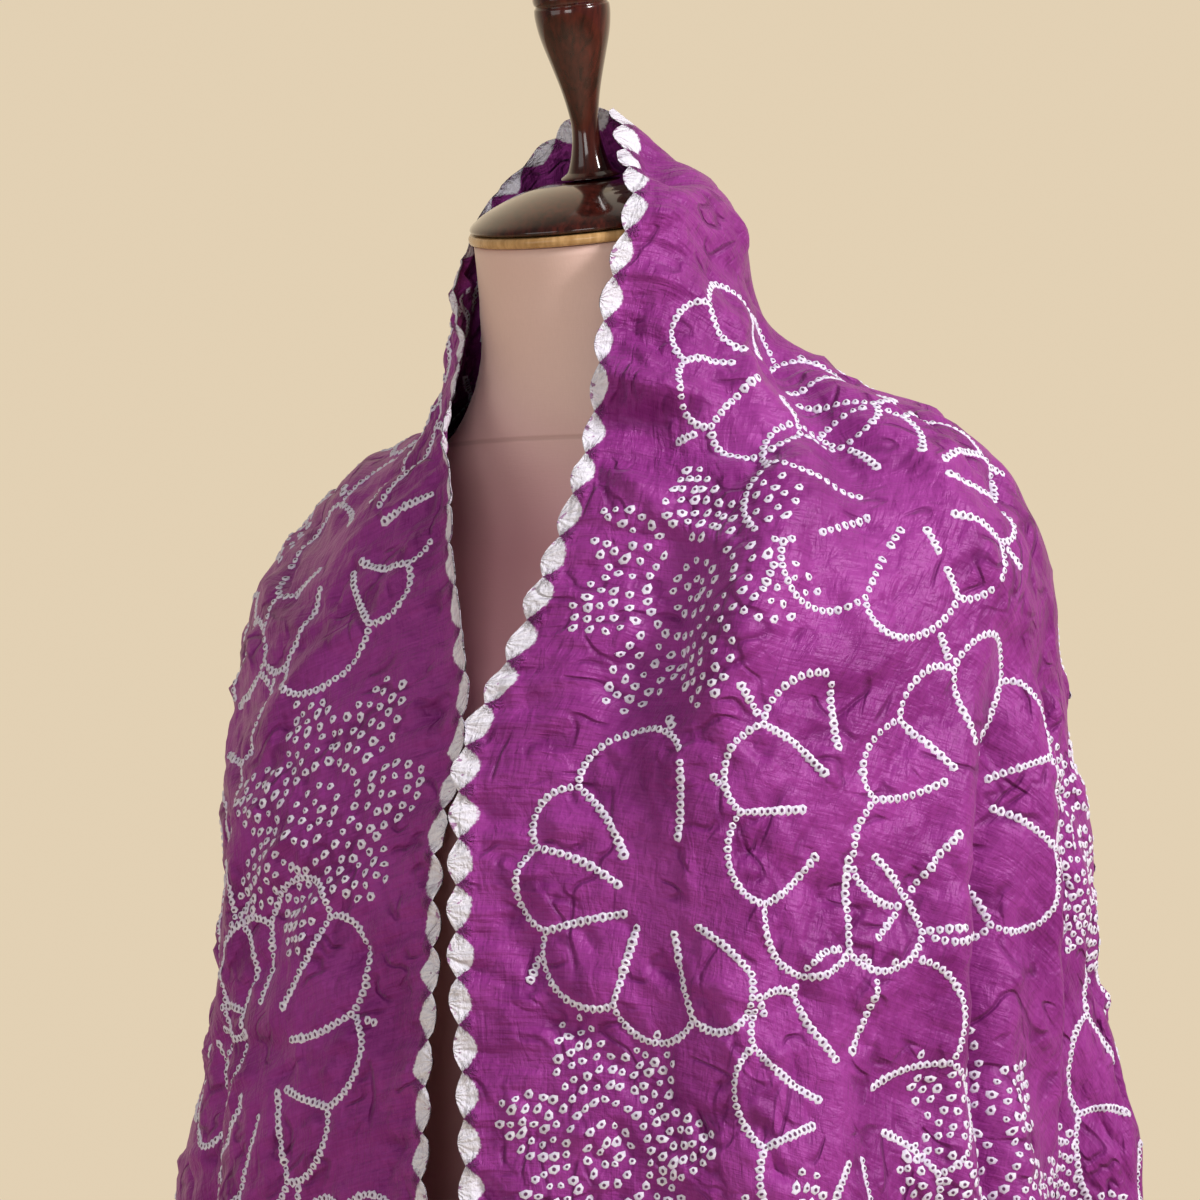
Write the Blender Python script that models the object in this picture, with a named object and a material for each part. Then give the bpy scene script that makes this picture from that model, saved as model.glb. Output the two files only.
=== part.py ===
"""Bandhani silk dupatta stole, draped over a limbless dress form on a turned wooden stand.

Metres, +Z up, the form faces -Y and its left shoulder is at +X. The origin is the middle of the
stand's underside, on the floor. The stole is one rectangle of silk: its places are given in the
flat cloth by `along`, the distance along the neck edge from the centre back (+ to the wearer's
left end), and `across`, the distance in from that edge.
"""

import math

import bmesh
import bpy
import numpy as np

# ---- the stole, as cut ----
STOLE_LENGTH = 1.92
STOLE_WIDTH = 0.66
SILK_WALL = 0.0014
SCALLOPS = 96
SCALLOP_NOTCH = 0.0050
BORDER_DEPTH = 0.021
SCALLOP_STEPS = 4
COLLAR_ROWS = (0.038, 0.058, 0.080, 0.105, 0.135, 0.170)
ROW_PITCH = 0.044
HEM_ROW = 0.050
MIDDLE_SCALLOPS = 24
CLOSE_SCALLOPS = 52
PIECE_GAP = 0.0003
NORMAL_STEP = 0.004

# ---- the dress form and its stand ----
FORM_SIDES = 32
CAP_SIDES = 24
THIN_SIDES = 16
BASE_SIDES = 36
NECK_TOP = (0.0, -0.0345, 1.453)
NECK_TILT_DEG = 13.0
TORSO_BOTTOM = 0.740

# The neck edge as it lies, from the peak behind the finial down each front to the stole's ends.
# Columns: x, y, z.
LEFT_EDGE = (
    (0.0000, -0.026, 1.512),
    (0.0140, -0.045, 1.496),
    (0.0260, -0.062, 1.481),
    (0.0390, -0.078, 1.463),
    (0.0385, -0.088, 1.440),
    (0.0350, -0.092, 1.418),
    (0.0325, -0.099, 1.372),
    (0.0275, -0.110, 1.329),
    (0.0175, -0.128, 1.284),
    (0.0095, -0.138, 1.250),
    (0.0015, -0.147, 1.224),
    (0.0020, -0.156, 1.170),
    (0.0055, -0.163, 1.100),
    (0.0090, -0.169, 1.020),
    (0.0120, -0.178, 0.900),
    (0.0150, -0.192, 0.700),
    (0.0180, -0.208, 0.500),
)
RIGHT_EDGE = (
    (0.0000, -0.026, 1.512),
    (-0.0180, -0.019, 1.510),
    (-0.0330, -0.015, 1.504),
    (-0.0430, -0.014, 1.496),
    (-0.0570, -0.020, 1.480),
    (-0.0650, -0.036, 1.461),
    (-0.0640, -0.050, 1.444),
    (-0.0550, -0.068, 1.420),
    (-0.0415, -0.087, 1.374),
    (-0.0250, -0.105, 1.336),
    (-0.0130, -0.122, 1.297),
    (-0.0055, -0.137, 1.254),
    (-0.0050, -0.145, 1.228),
    (-0.0110, -0.156, 1.170),
    (-0.0085, -0.163, 1.100),
    (-0.0070, -0.169, 1.020),
    (-0.0100, -0.178, 0.900),
    (-0.0130, -0.192, 0.700),
    (-0.0160, -0.208, 0.500),
)

# Where the cloth lies at each distance `reach` from the peak, on its way down over the left chest,
# the shoulder and the shoulder blade. Columns: reach, then x, y, z of each.
LEFT_DRAPE = (
    # reach   chest                    shoulder                 blade
    (0.00, (0.000, -0.026, 1.512), (0.000, -0.026, 1.512), (0.000, -0.026, 1.512)),
    (0.03, (0.021, -0.034, 1.495), (0.022, -0.020, 1.494), (0.013, -0.010, 1.492)),
    (0.06, (0.042, -0.047, 1.478), (0.046, -0.018, 1.478), (0.032, 0.010, 1.479)),
    (0.09, (0.060, -0.060, 1.459), (0.062, -0.018, 1.456), (0.041, 0.019, 1.457)),
    (0.12, (0.062, -0.065, 1.430), (0.069, -0.019, 1.427), (0.046, 0.025, 1.428)),
    (0.15, (0.064, -0.071, 1.401), (0.079, -0.018, 1.399), (0.062, 0.034, 1.403)),
    (0.18, (0.072, -0.077, 1.374), (0.102, -0.012, 1.386), (0.084, 0.043, 1.384)),
    (0.21, (0.086, -0.086, 1.349), (0.129, -0.008, 1.375), (0.108, 0.053, 1.368)),
    (0.24, (0.101, -0.095, 1.325), (0.155, -0.004, 1.361), (0.130, 0.064, 1.348)),
    (0.27, (0.115, -0.103, 1.299), (0.175, -0.001, 1.343), (0.144, 0.076, 1.324)),
    (0.30, (0.123, -0.110, 1.271), (0.188, 0.000, 1.315), (0.151, 0.085, 1.298)),
    (0.36, (0.129, -0.122, 1.212), (0.194, 0.000, 1.253), (0.156, 0.094, 1.240)),
    (0.42, (0.137, -0.126, 1.153), (0.197, 0.010, 1.191), (0.157, 0.102, 1.181)),
    (0.50, (0.149, -0.122, 1.075), (0.195, 0.026, 1.110), (0.159, 0.113, 1.102)),
    (0.60, (0.168, -0.112, 0.977), (0.198, 0.042, 1.010), (0.161, 0.123, 1.003)),
    (0.80, (0.208, -0.104, 0.782), (0.230, 0.062, 0.813), (0.184, 0.152, 0.805)),
    (1.00, (0.252, -0.098, 0.586), (0.276, 0.076, 0.618), (0.210, 0.170, 0.607)),
    (1.20, (0.282, -0.092, 0.389), (0.306, 0.088, 0.420), (0.232, 0.186, 0.409)),
)
# Where the right side lies otherwise: its collar stands further out and its shoulder is lower.
RIGHT_DRAPE = (
    (0.00, (0.000, -0.026, 1.512), (0.000, -0.026, 1.512), (0.000, -0.026, 1.512)),
    (0.03, (-0.023, -0.012, 1.499), (-0.020, -0.008, 1.495), (-0.011, -0.006, 1.491)),
    (0.06, (-0.048, -0.007, 1.482), (-0.042, 0.003, 1.477), (-0.024, 0.013, 1.478)),
    (0.09, (-0.065, -0.016, 1.460), (-0.059, 0.001, 1.454), (-0.038, 0.023, 1.454)),
    (0.12, (-0.069, -0.028, 1.435), (-0.069, -0.004, 1.425), (-0.046, 0.025, 1.427)),
    (0.15, (-0.067, -0.043, 1.409), (-0.077, -0.012, 1.397), (-0.062, 0.034, 1.402)),
    (0.18, (-0.067, -0.056, 1.381), (-0.095, -0.013, 1.376), (-0.084, 0.043, 1.383)),
    (0.21, (-0.077, -0.073, 1.354), (-0.120, -0.009, 1.360), (-0.108, 0.053, 1.365)),
    (0.24, (-0.092, -0.086, 1.327), (-0.147, -0.005, 1.349), (-0.130, 0.064, 1.346)),
    (0.27, (-0.107, -0.098, 1.299), (-0.173, -0.001, 1.333), (-0.144, 0.076, 1.323)),
    (0.30, (-0.118, -0.108, 1.271), (-0.190, 0.000, 1.310), (-0.151, 0.085, 1.298)),
    (0.36, (-0.130, -0.122, 1.212), (-0.199, 0.000, 1.250), (-0.157, 0.094, 1.240)),
    (0.42, (-0.136, -0.126, 1.153), (-0.192, 0.010, 1.191), (-0.157, 0.102, 1.181)),
    (0.50, (-0.149, -0.122, 1.075), (-0.195, 0.026, 1.110), (-0.159, 0.113, 1.102)),
    (0.60, (-0.173, -0.112, 0.977), (-0.208, 0.042, 1.012), (-0.161, 0.123, 1.003)),
)
# Down the spine. Columns: reach, y, z.
SPINE_DRAPE = (
    (0.00, -0.026, 1.512),
    (0.03, -0.006, 1.491),
    (0.06, 0.016, 1.479),
    (0.09, 0.036, 1.457),
    (0.12, 0.046, 1.429),
    (0.15, 0.052, 1.400),
    (0.18, 0.064, 1.373),
    (0.21, 0.083, 1.350),
    (0.24, 0.101, 1.326),
    (0.27, 0.112, 1.298),
    (0.30, 0.117, 1.269),
    (0.36, 0.121, 1.209),
    (0.42, 0.124, 1.149),
    (0.50, 0.129, 1.069),
    (0.60, 0.137, 0.970),
    (0.80, 0.158, 0.771),
    (1.00, 0.176, 0.572),
    (1.20, 0.190, 0.373),
)

# The largest folds, as soft ridges (+) and troughs (-) that run away from the neck.
# Columns: side (+1 left), angle in the flat cloth from the neck edge in degrees, half width in
# degrees, height, and the reach where the fold starts and where it is full.
FOLDS = (
    (+1, 13.0, 5.0, -0.008, 0.16, 0.30),
    (+1, 19.0, 5.0, 0.014, 0.40, 0.95),
    (+1, 28.0, 5.0, -0.030, 0.36, 0.90),
    (+1, 36.5, 5.0, 0.038, 0.34, 0.90),
    (+1, 45.5, 5.2, -0.038, 0.38, 0.90),
    (+1, 54.5, 5.0, 0.041, 0.34, 0.80),
    (+1, 63.0, 5.0, -0.035, 0.38, 0.80),
    (+1, 71.5, 4.8, 0.030, 0.38, 0.78),
    (+1, 79.5, 4.5, -0.025, 0.36, 0.76),
    (+1, 87.0, 4.2, 0.018, 0.36, 0.76),
    (-1, 13.0, 5.0, 0.010, 0.30, 0.80),
    (-1, 22.0, 5.0, -0.025, 0.36, 0.95),
    (-1, 31.0, 5.0, 0.038, 0.34, 0.95),
    (-1, 40.5, 5.2, -0.041, 0.38, 0.95),
    (-1, 49.5, 5.0, 0.044, 0.34, 0.90),
    (-1, 58.5, 5.0, -0.039, 0.38, 0.85),
    (-1, 67.0, 5.0, 0.033, 0.36, 0.78),
    (-1, 75.5, 4.6, -0.028, 0.38, 0.78),
    (-1, 83.0, 4.2, 0.021, 0.36, 0.76),
)

# Sections of the padded form. Columns: height, half width, depth in front, depth behind, middle y
# and squareness.
FORM_SECTIONS = (
    (0.740, 0.150, 0.098, 0.104, 0.000, 2.2),
    (0.800, 0.166, 0.108, 0.118, 0.000, 2.2),
    (0.860, 0.163, 0.104, 0.118, 0.000, 2.2),
    (0.940, 0.138, 0.094, 0.098, 0.000, 2.2),
    (1.020, 0.118, 0.088, 0.082, 0.000, 2.2),
    (1.080, 0.125, 0.100, 0.088, 0.000, 2.3),
    (1.140, 0.140, 0.122, 0.098, 0.000, 2.4),
    (1.190, 0.150, 0.136, 0.106, 0.000, 2.4),
    (1.240, 0.162, 0.122, 0.110, 0.000, 2.4),
    (1.276, 0.170, 0.098, 0.104, 0.000, 2.4),
    (1.298, 0.172, 0.082, 0.094, 0.000, 2.3),
    (1.316, 0.162, 0.070, 0.080, 0.000, 2.2),
    (1.332, 0.139, 0.066, 0.068, -0.002, 2.1),
    (1.347, 0.110, 0.064, 0.061, -0.006, 2.1),
    (1.361, 0.085, 0.062, 0.058, -0.011, 2.0),
    (1.378, 0.069, 0.060, 0.057, -0.016, 2.0),
    (1.396, 0.060, 0.058, 0.056, -0.021, 2.0),
    (1.420, 0.057, 0.057, 0.056, -0.027, 2.0),
)
NECK_RADIUS = 0.0560
NECK_RINGS = (0.010, 0.0)

# Turned profiles, as radius and height.
CAP_RIM_PROFILE = (
    (0.0, 0.0),
    (0.0565, 0.0),
    (0.0580, 0.0012),
    (0.0580, 0.0040),
    (0.0570, 0.0050),
    (0.0, 0.0050),
)
CAP_PROFILE = (
    (0.0, 0.0),
    (0.0560, 0.0),
    (0.0572, 0.0015),
    (0.0550, 0.0045),
    (0.0480, 0.0090),
    (0.0370, 0.0138),
    (0.0260, 0.0170),
    (0.0150, 0.0188),
    (0.0, 0.0188),
)
FINIAL_PROFILE = (
    (0.0, 0.0),
    (0.0140, 0.0),
    (0.0110, 0.0030),
    (0.0080, 0.0090),
    (0.0064, 0.0180),
    (0.0064, 0.0260),
    (0.0085, 0.0390),
    (0.0125, 0.0530),
    (0.0160, 0.0650),
    (0.0172, 0.0730),
    (0.0170, 0.0775),
    (0.0161, 0.0785),
    (0.0172, 0.0800),
    (0.0172, 0.0830),
    (0.0162, 0.0845),
    (0.0172, 0.0860),
    (0.0165, 0.0910),
    (0.0140, 0.0965),
    (0.0085, 0.1010),
    (0.0, 0.1025),
)
SOCKET_PROFILE = (
    (0.0, 0.0),
    (0.0230, 0.0),
    (0.0260, 0.0040),
    (0.0240, 0.0120),
    (0.0300, 0.0200),
    (0.0450, 0.0260),
    (0.0470, 0.0300),
    (0.0, 0.0300),
)
POLE_PROFILE = (
    (0.0, 0.0),
    (0.0240, 0.0),
    (0.0260, 0.0200),
    (0.0210, 0.0320),
    (0.0270, 0.0460),
    (0.0200, 0.0640),
    (0.0170, 0.1200),
    (0.0200, 0.2400),
    (0.0210, 0.3400),
    (0.0170, 0.4600),
    (0.0150, 0.5600),
    (0.0200, 0.5780),
    (0.0160, 0.5960),
    (0.0160, 0.6600),
)
BASE_PROFILE = (
    (0.0, 0.0),
    (0.1680, 0.0),
    (0.1750, 0.0040),
    (0.1750, 0.0180),
    (0.1700, 0.0230),
    (0.1500, 0.0260),
    (0.1000, 0.0320),
    (0.0500, 0.0420),
    (0.0340, 0.0500),
    (0.0, 0.0500),
)


def make_material(name, colour, roughness, metallic=0.0):
    """A plain Principled material with the piece's colour and polish."""
    material = bpy.data.materials.new(name)
    material.use_nodes = True
    shader = material.node_tree.nodes["Principled BSDF"]
    shader.inputs["Base Color"].default_value = (*colour, 1.0)
    shader.inputs["Roughness"].default_value = roughness
    shader.inputs["Metallic"].default_value = metallic
    return material


def make_object(name, points, faces, material):
    """One closed solid, shaded smooth."""
    mesh = bpy.data.meshes.new(name)
    mesh.from_pydata([tuple(point) for point in points], [], faces)
    mesh.validate()
    made = bpy.data.objects.new(name, mesh)
    bpy.context.scene.collection.objects.link(made)
    mesh.materials.append(material)
    mesh.shade_smooth()
    mesh.set_sharp_from_angle(angle=math.radians(50))
    return made


def smooth(knots, values, at):
    """Values read at `at` from a smooth curve through the knots: cubic, with averaged tangents."""
    knots = np.asarray(knots, float)
    values = np.asarray(values, float)
    slope = np.gradient(values, knots, axis=0)
    step = np.clip(np.searchsorted(knots, at, side="right") - 1, 0, len(knots) - 2)
    width = knots[step + 1] - knots[step]
    t = np.clip((at - knots[step]) / width, 0.0, 1.0)[:, None]
    width = width[:, None]
    start = (2 * t**3 - 3 * t**2 + 1) * values[step] + (t**3 - 2 * t**2 + t) * width * slope[step]
    end = (3 * t**2 - 2 * t**3) * values[step + 1] + (t**3 - t**2) * width * slope[step + 1]
    return start + end


def edge_stations(points):
    """The distance from the peak to each point of a neck edge."""
    return np.concatenate([[0.0], np.cumsum(np.linalg.norm(np.diff(points, axis=0), axis=1))])


def drape_lines():
    """The nine lines that run away from the peak: left edge, chest, shoulder and blade, the spine,
    then the same on the right. Each is (reach knots, points)."""
    left = [(row[0], row[1:]) for row in LEFT_DRAPE]
    own = {row[0] for row in RIGHT_DRAPE}
    mirrored = [
        (row[0], tuple((-x, y, z) for x, y, z in row[1:])) for row in LEFT_DRAPE if row[0] not in own
    ]
    right = [(row[0], row[1:]) for row in RIGHT_DRAPE] + mirrored
    lines = [(edge_stations(np.array(LEFT_EDGE)), np.array(LEFT_EDGE))]
    for place in range(3):
        lines.append(([reach for reach, _ in left], np.array([points[place] for _, points in left])))
    lines.append(([row[0] for row in SPINE_DRAPE], np.array([(0.0, row[1], row[2]) for row in SPINE_DRAPE])))
    for place in (2, 1, 0):
        lines.append(([reach for reach, _ in right], np.array([points[place] for _, points in right])))
    lines.append((edge_stations(np.array(RIGHT_EDGE)), np.array(RIGHT_EDGE)))
    return lines


def lie(along, across):
    """Where points of the flat cloth lie over the shoulders, before the folds."""
    reach = np.hypot(along, across)
    turn = np.degrees(np.arctan2(across, along))
    knots = np.array([smooth(line_knots, points, reach) for line_knots, points in drape_lines()])
    pitch = 180.0 / (len(knots) - 1)
    slope = np.gradient(knots, axis=0)
    step = np.clip((turn / pitch).astype(int), 0, len(knots) - 2)
    t = (turn / pitch - step)[:, None]
    each = np.arange(len(along))
    start = (2 * t**3 - 3 * t**2 + 1) * knots[step, each] + (t**3 - 2 * t**2 + t) * slope[step, each]
    end = (3 * t**2 - 2 * t**3) * knots[step + 1, each] + (t**3 - t**2) * slope[step + 1, each]
    return start + end


def soft_step(x):
    x = np.clip(x, 0.0, 1.0)
    return x * x * (3.0 - 2.0 * x)


def fold_height(along, across):
    """How far the folds lift the cloth from the body."""
    reach = np.hypot(along, across)
    turn = np.degrees(np.arctan2(across, along))
    lift = np.zeros(len(along))
    for side, angle, half_width, height, starts, full in FOLDS:
        middle = angle if side > 0 else 180.0 - angle
        grows = soft_step((reach - starts) / (full - starts))
        lift += height * grows * np.exp(-(((turn - middle) / half_width) ** 2))
    return lift


def outward(shape, along, across):
    """The outward direction of a shape of the cloth, from two short steps in the flat cloth."""
    one = shape(along + NORMAL_STEP, across) - shape(along - NORMAL_STEP, across)
    two = shape(along, across + NORMAL_STEP) - shape(along, np.maximum(across - NORMAL_STEP, 0.0))
    normal = np.cross(one, two)
    return normal / np.linalg.norm(normal, axis=1)[:, None]


def drape(along, across):
    """Where points of the flat cloth lie, folds and all."""
    places = lie(along, across)
    return places + outward(lie, along, across) * fold_height(along, across)[:, None]


def scallop_outline(along):
    """How far the edge draws in from the scallops' tips."""
    return SCALLOP_NOTCH * (1.0 - np.abs(np.sin(math.pi * along / (STOLE_LENGTH / SCALLOPS))))


def stole_sheet(columns, gap_first, gap_last):
    """A stretch of the cloth as flat places and faces. The columns are scallop numbers. Each long
    edge has SCALLOP_STEPS short sides to a scallop, which fan out to the coarser inside."""
    scallop = STOLE_LENGTH / SCALLOPS
    fine = np.arange(columns[0] * SCALLOP_STEPS, columns[-1] * SCALLOP_STEPS + 1) * scallop / SCALLOP_STEPS
    last_row = STOLE_WIDTH - HEM_ROW
    body_rows = round((last_row - COLLAR_ROWS[-1]) / ROW_PITCH)
    rows = [BORDER_DEPTH, *COLLAR_ROWS]
    rows += list(np.linspace(COLLAR_ROWS[-1], last_row, body_rows + 1)[1:])
    rows.append(STOLE_WIDTH - BORDER_DEPTH)
    places = []
    faces = []

    def add_row(along, across):
        along = along.copy()
        along[0] += gap_first
        along[-1] -= gap_last
        start = len(places)
        places.extend(zip(along, np.broadcast_to(across, along.shape)))
        return list(range(start, start + len(along)))

    near_edge = add_row(fine, scallop_outline(fine))
    grid = [add_row(np.array(columns) * scallop, row) for row in rows]
    far_edge = add_row(fine, STOLE_WIDTH - scallop_outline(fine))
    # Each cell is split along the diagonal that runs away from the peak, as the folds do.
    for near, far in zip(grid, grid[1:]):
        for column in range(len(columns) - 1):
            a, b = near[column], near[column + 1]
            c, d = far[column + 1], far[column]
            if columns[column] >= 0:
                faces += [(a, b, c), (a, c, d)]
            else:
                faces += [(a, b, d), (b, c, d)]
    for edge, row, turned_over in ((near_edge, grid[0], False), (far_edge, grid[-1], True)):
        for column in range(len(columns) - 1):
            start = (columns[column] - columns[0]) * SCALLOP_STEPS
            end = (columns[column + 1] - columns[0]) * SCALLOP_STEPS
            half = (start + end) // 2
            fans = [(edge[k], edge[k + 1], row[column]) for k in range(start, half)]
            fans.append((edge[half], row[column + 1], row[column]))
            fans += [(edge[k], edge[k + 1], row[column + 1]) for k in range(half, end)]
            faces.extend(tuple(reversed(fan)) if turned_over else fan for fan in fans)
    outline = near_edge + [row[-1] for row in grid] + far_edge[::-1] + [row[0] for row in reversed(grid)]
    return np.array(places), faces, outline


def make_stole_stretch(name, columns, gap_first, gap_last, material):
    """A stretch of the stole as a closed wall: the draped sheet moved out and in by half the wall."""
    places, faces, outline = stole_sheet(columns, gap_first, gap_last)
    points = drape(places[:, 0], places[:, 1])
    lift = outward(drape, places[:, 0], places[:, 1]) * SILK_WALL / 2
    count = len(points)
    solid = [tuple(face) for face in faces]
    solid += [tuple(corner + count for corner in reversed(face)) for face in faces]
    for one, two in zip(outline, outline[1:] + outline[:1]):
        # Both sides of a gap between stretches share this diagonal, so that their ends match.
        if places[one, 1] < places[two, 1]:
            solid += [(two, one, two + count), (one, one + count, two + count)]
        else:
            solid += [(two, one, one + count), (two, one + count, two + count)]
    return make_object(name, np.concatenate([points + lift, points - lift]), solid, material)


def make_stole():
    """The stole in three stretches: the middle with the collar, and the two hanging ends, whose
    columns lie closer together where the folds start."""
    silk = make_material("purple_bandhani_silk", (0.27, 0.030, 0.235), 0.45)
    end = SCALLOPS // 2
    close = list(range(MIDDLE_SCALLOPS // 2, CLOSE_SCALLOPS // 2))
    left = close + list(range(CLOSE_SCALLOPS // 2, end + 1, 2))
    right = [-scallop for scallop in reversed(left)]
    gap = PIECE_GAP / 2
    make_stole_stretch("stole_right_end", right, 0.0, gap, silk)
    make_stole_stretch("stole_middle", list(range(right[-1], left[0] + 1)), gap, gap, silk)
    make_stole_stretch("stole_left_end", left, gap, 0.0, silk)


def loft(rings):
    """Faces that join rings of equal count, bottom ring first, with both ends closed."""
    count = len(rings[0])
    faces = []
    for level in range(len(rings) - 1):
        for side in range(count):
            nxt = (side + 1) % count
            a = level * count
            b = a + count
            faces.append((a + side, a + nxt, b + nxt, b + side))
    faces.append(tuple(range(count - 1, -1, -1)))
    top = (len(rings) - 1) * count
    faces.append(tuple(range(top, top + count)))
    return np.concatenate(rings), faces


def form_ring(height, half_width, front, back, middle_y, squareness):
    """A section of the form: a squared oval, deeper behind or in front."""
    angle = np.linspace(0.0, 2 * math.pi, FORM_SIDES, endpoint=False)
    power = 2.0 / squareness
    x = half_width * np.sign(np.cos(angle)) * np.abs(np.cos(angle)) ** power
    depth = np.where(np.sin(angle) > 0, back, front)
    y = middle_y + depth * np.sign(np.sin(angle)) * np.abs(np.sin(angle)) ** power
    return np.stack([x, y, np.full(FORM_SIDES, height)], axis=1)


def neck_ring(below):
    """A round section of the tilted neck, `below` its top."""
    tilt = math.radians(NECK_TILT_DEG)
    angle = np.linspace(0.0, 2 * math.pi, FORM_SIDES, endpoint=False)
    x = NECK_RADIUS * np.cos(angle)
    forward = NECK_RADIUS * np.sin(angle)
    y = NECK_TOP[1] + forward * math.cos(tilt) + below * math.sin(tilt)
    z = NECK_TOP[2] + forward * math.sin(tilt) - below * math.cos(tilt)
    return np.stack([x, y, z], axis=1)


def make_form():
    """The padded torso and neck under one fabric cover."""
    cover = make_material("nude_form_cover", (0.62, 0.40, 0.33), 0.6)
    rings = [form_ring(*section) for section in FORM_SECTIONS]
    rings += [neck_ring(below) for below in NECK_RINGS]
    points, faces = loft(rings)
    return make_object("dress_form_torso", points, faces, cover)


def turned(name, profile, material, foot, tilt_deg, sides):
    """A turned piece: its profile spun round an axis that leans forward by the tilt."""
    tilt = math.radians(tilt_deg)
    angle = np.linspace(0.0, 2 * math.pi, sides, endpoint=False)
    rings = []
    for radius, height in profile:
        count = 1 if radius == 0.0 else sides
        x = radius * np.cos(angle[:count])
        back = radius * np.sin(angle[:count])
        y = foot[1] + back * math.cos(tilt) - height * math.sin(tilt)
        z = foot[2] + back * math.sin(tilt) + height * math.cos(tilt)
        rings.append(np.stack([x + foot[0], y, z], axis=1))
    faces = []
    start = 0
    for low, high in zip(rings, rings[1:]):
        top = start + len(low)
        for side in range(sides):
            nxt = (side + 1) % sides
            if len(low) == 1:
                faces.append((start, top + nxt, top + side))
            elif len(high) == 1:
                faces.append((start + side, start + nxt, top))
            else:
                faces.append((start + side, start + nxt, top + nxt, top + side))
        start = top
    return make_object(name, np.concatenate(rings), faces, material)


def along_neck(distance):
    """A point on the neck's axis, `distance` above its top."""
    tilt = math.radians(NECK_TILT_DEG)
    return (NECK_TOP[0], NECK_TOP[1] - distance * math.sin(tilt), NECK_TOP[2] + distance * math.cos(tilt))


def make_stand():
    """The wooden cap and finial on the neck, and the socket, pole and base below the torso."""
    mahogany = make_material("dark_mahogany", (0.045, 0.012, 0.008), 0.2)
    light_wood = make_material("light_rim_wood", (0.42, 0.24, 0.10), 0.4)
    rim_top = PIECE_GAP + CAP_RIM_PROFILE[-1][1]
    cap_top = rim_top + PIECE_GAP + CAP_PROFILE[-1][1]
    turned("neck_cap_rim", CAP_RIM_PROFILE, light_wood, along_neck(PIECE_GAP), NECK_TILT_DEG, CAP_SIDES)
    turned("neck_cap", CAP_PROFILE, mahogany, along_neck(rim_top + PIECE_GAP), NECK_TILT_DEG, CAP_SIDES)
    turned("finial", FINIAL_PROFILE, mahogany, along_neck(cap_top + PIECE_GAP), NECK_TILT_DEG, THIN_SIDES)
    socket_foot = TORSO_BOTTOM - PIECE_GAP - SOCKET_PROFILE[-1][1]
    turned("stand_socket", SOCKET_PROFILE, mahogany, (0.0, 0.0, socket_foot), 0.0, CAP_SIDES)
    base_top = BASE_PROFILE[-1][1]
    pole = list(POLE_PROFILE)
    pole_top = socket_foot - base_top - 2 * PIECE_GAP
    pole[-1] = (pole[-1][0], pole_top)
    pole.append((0.0, pole_top))
    turned("stand_pole", pole, mahogany, (0.0, 0.0, base_top + PIECE_GAP), 0.0, THIN_SIDES)
    turned("stand_base", BASE_PROFILE, mahogany, (0.0, 0.0, 0.0), 0.0, BASE_SIDES)


for leftover in list(bpy.data.objects):
    bpy.data.objects.remove(leftover)
make_form()
make_stand()
make_stole()
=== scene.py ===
"""Looks for the bandhani silk stole on its dress form: cloth, ties, form cover and turned wood.

Metres, +Z up, the form faces -Y, and tables read by `metres` are in millimetres. Places on the stole
are flat-cloth places, as in the CAD: `along` runs from the centre back to the wearer's left end,
`across` from the neck edge to the hem.
"""

import math

import bpy
import mathutils
import numpy as np
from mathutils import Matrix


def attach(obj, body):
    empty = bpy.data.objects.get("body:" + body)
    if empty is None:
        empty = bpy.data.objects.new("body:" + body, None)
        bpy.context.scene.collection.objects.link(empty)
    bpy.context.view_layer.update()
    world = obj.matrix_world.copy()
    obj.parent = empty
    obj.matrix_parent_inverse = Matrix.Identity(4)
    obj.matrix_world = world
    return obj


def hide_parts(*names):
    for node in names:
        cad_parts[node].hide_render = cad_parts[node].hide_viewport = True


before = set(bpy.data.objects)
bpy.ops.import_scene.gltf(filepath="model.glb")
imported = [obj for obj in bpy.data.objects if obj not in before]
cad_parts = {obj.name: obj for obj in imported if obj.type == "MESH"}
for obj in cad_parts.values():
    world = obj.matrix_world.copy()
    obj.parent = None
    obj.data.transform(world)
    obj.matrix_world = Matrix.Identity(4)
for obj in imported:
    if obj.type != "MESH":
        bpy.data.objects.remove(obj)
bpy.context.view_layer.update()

# ---- Stand base ----
# A turned, weighted wooden disc with a low dome and a collar for the pole, under clear lacquer.
# It carries everything, and the pole is screwed into its middle.


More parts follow.
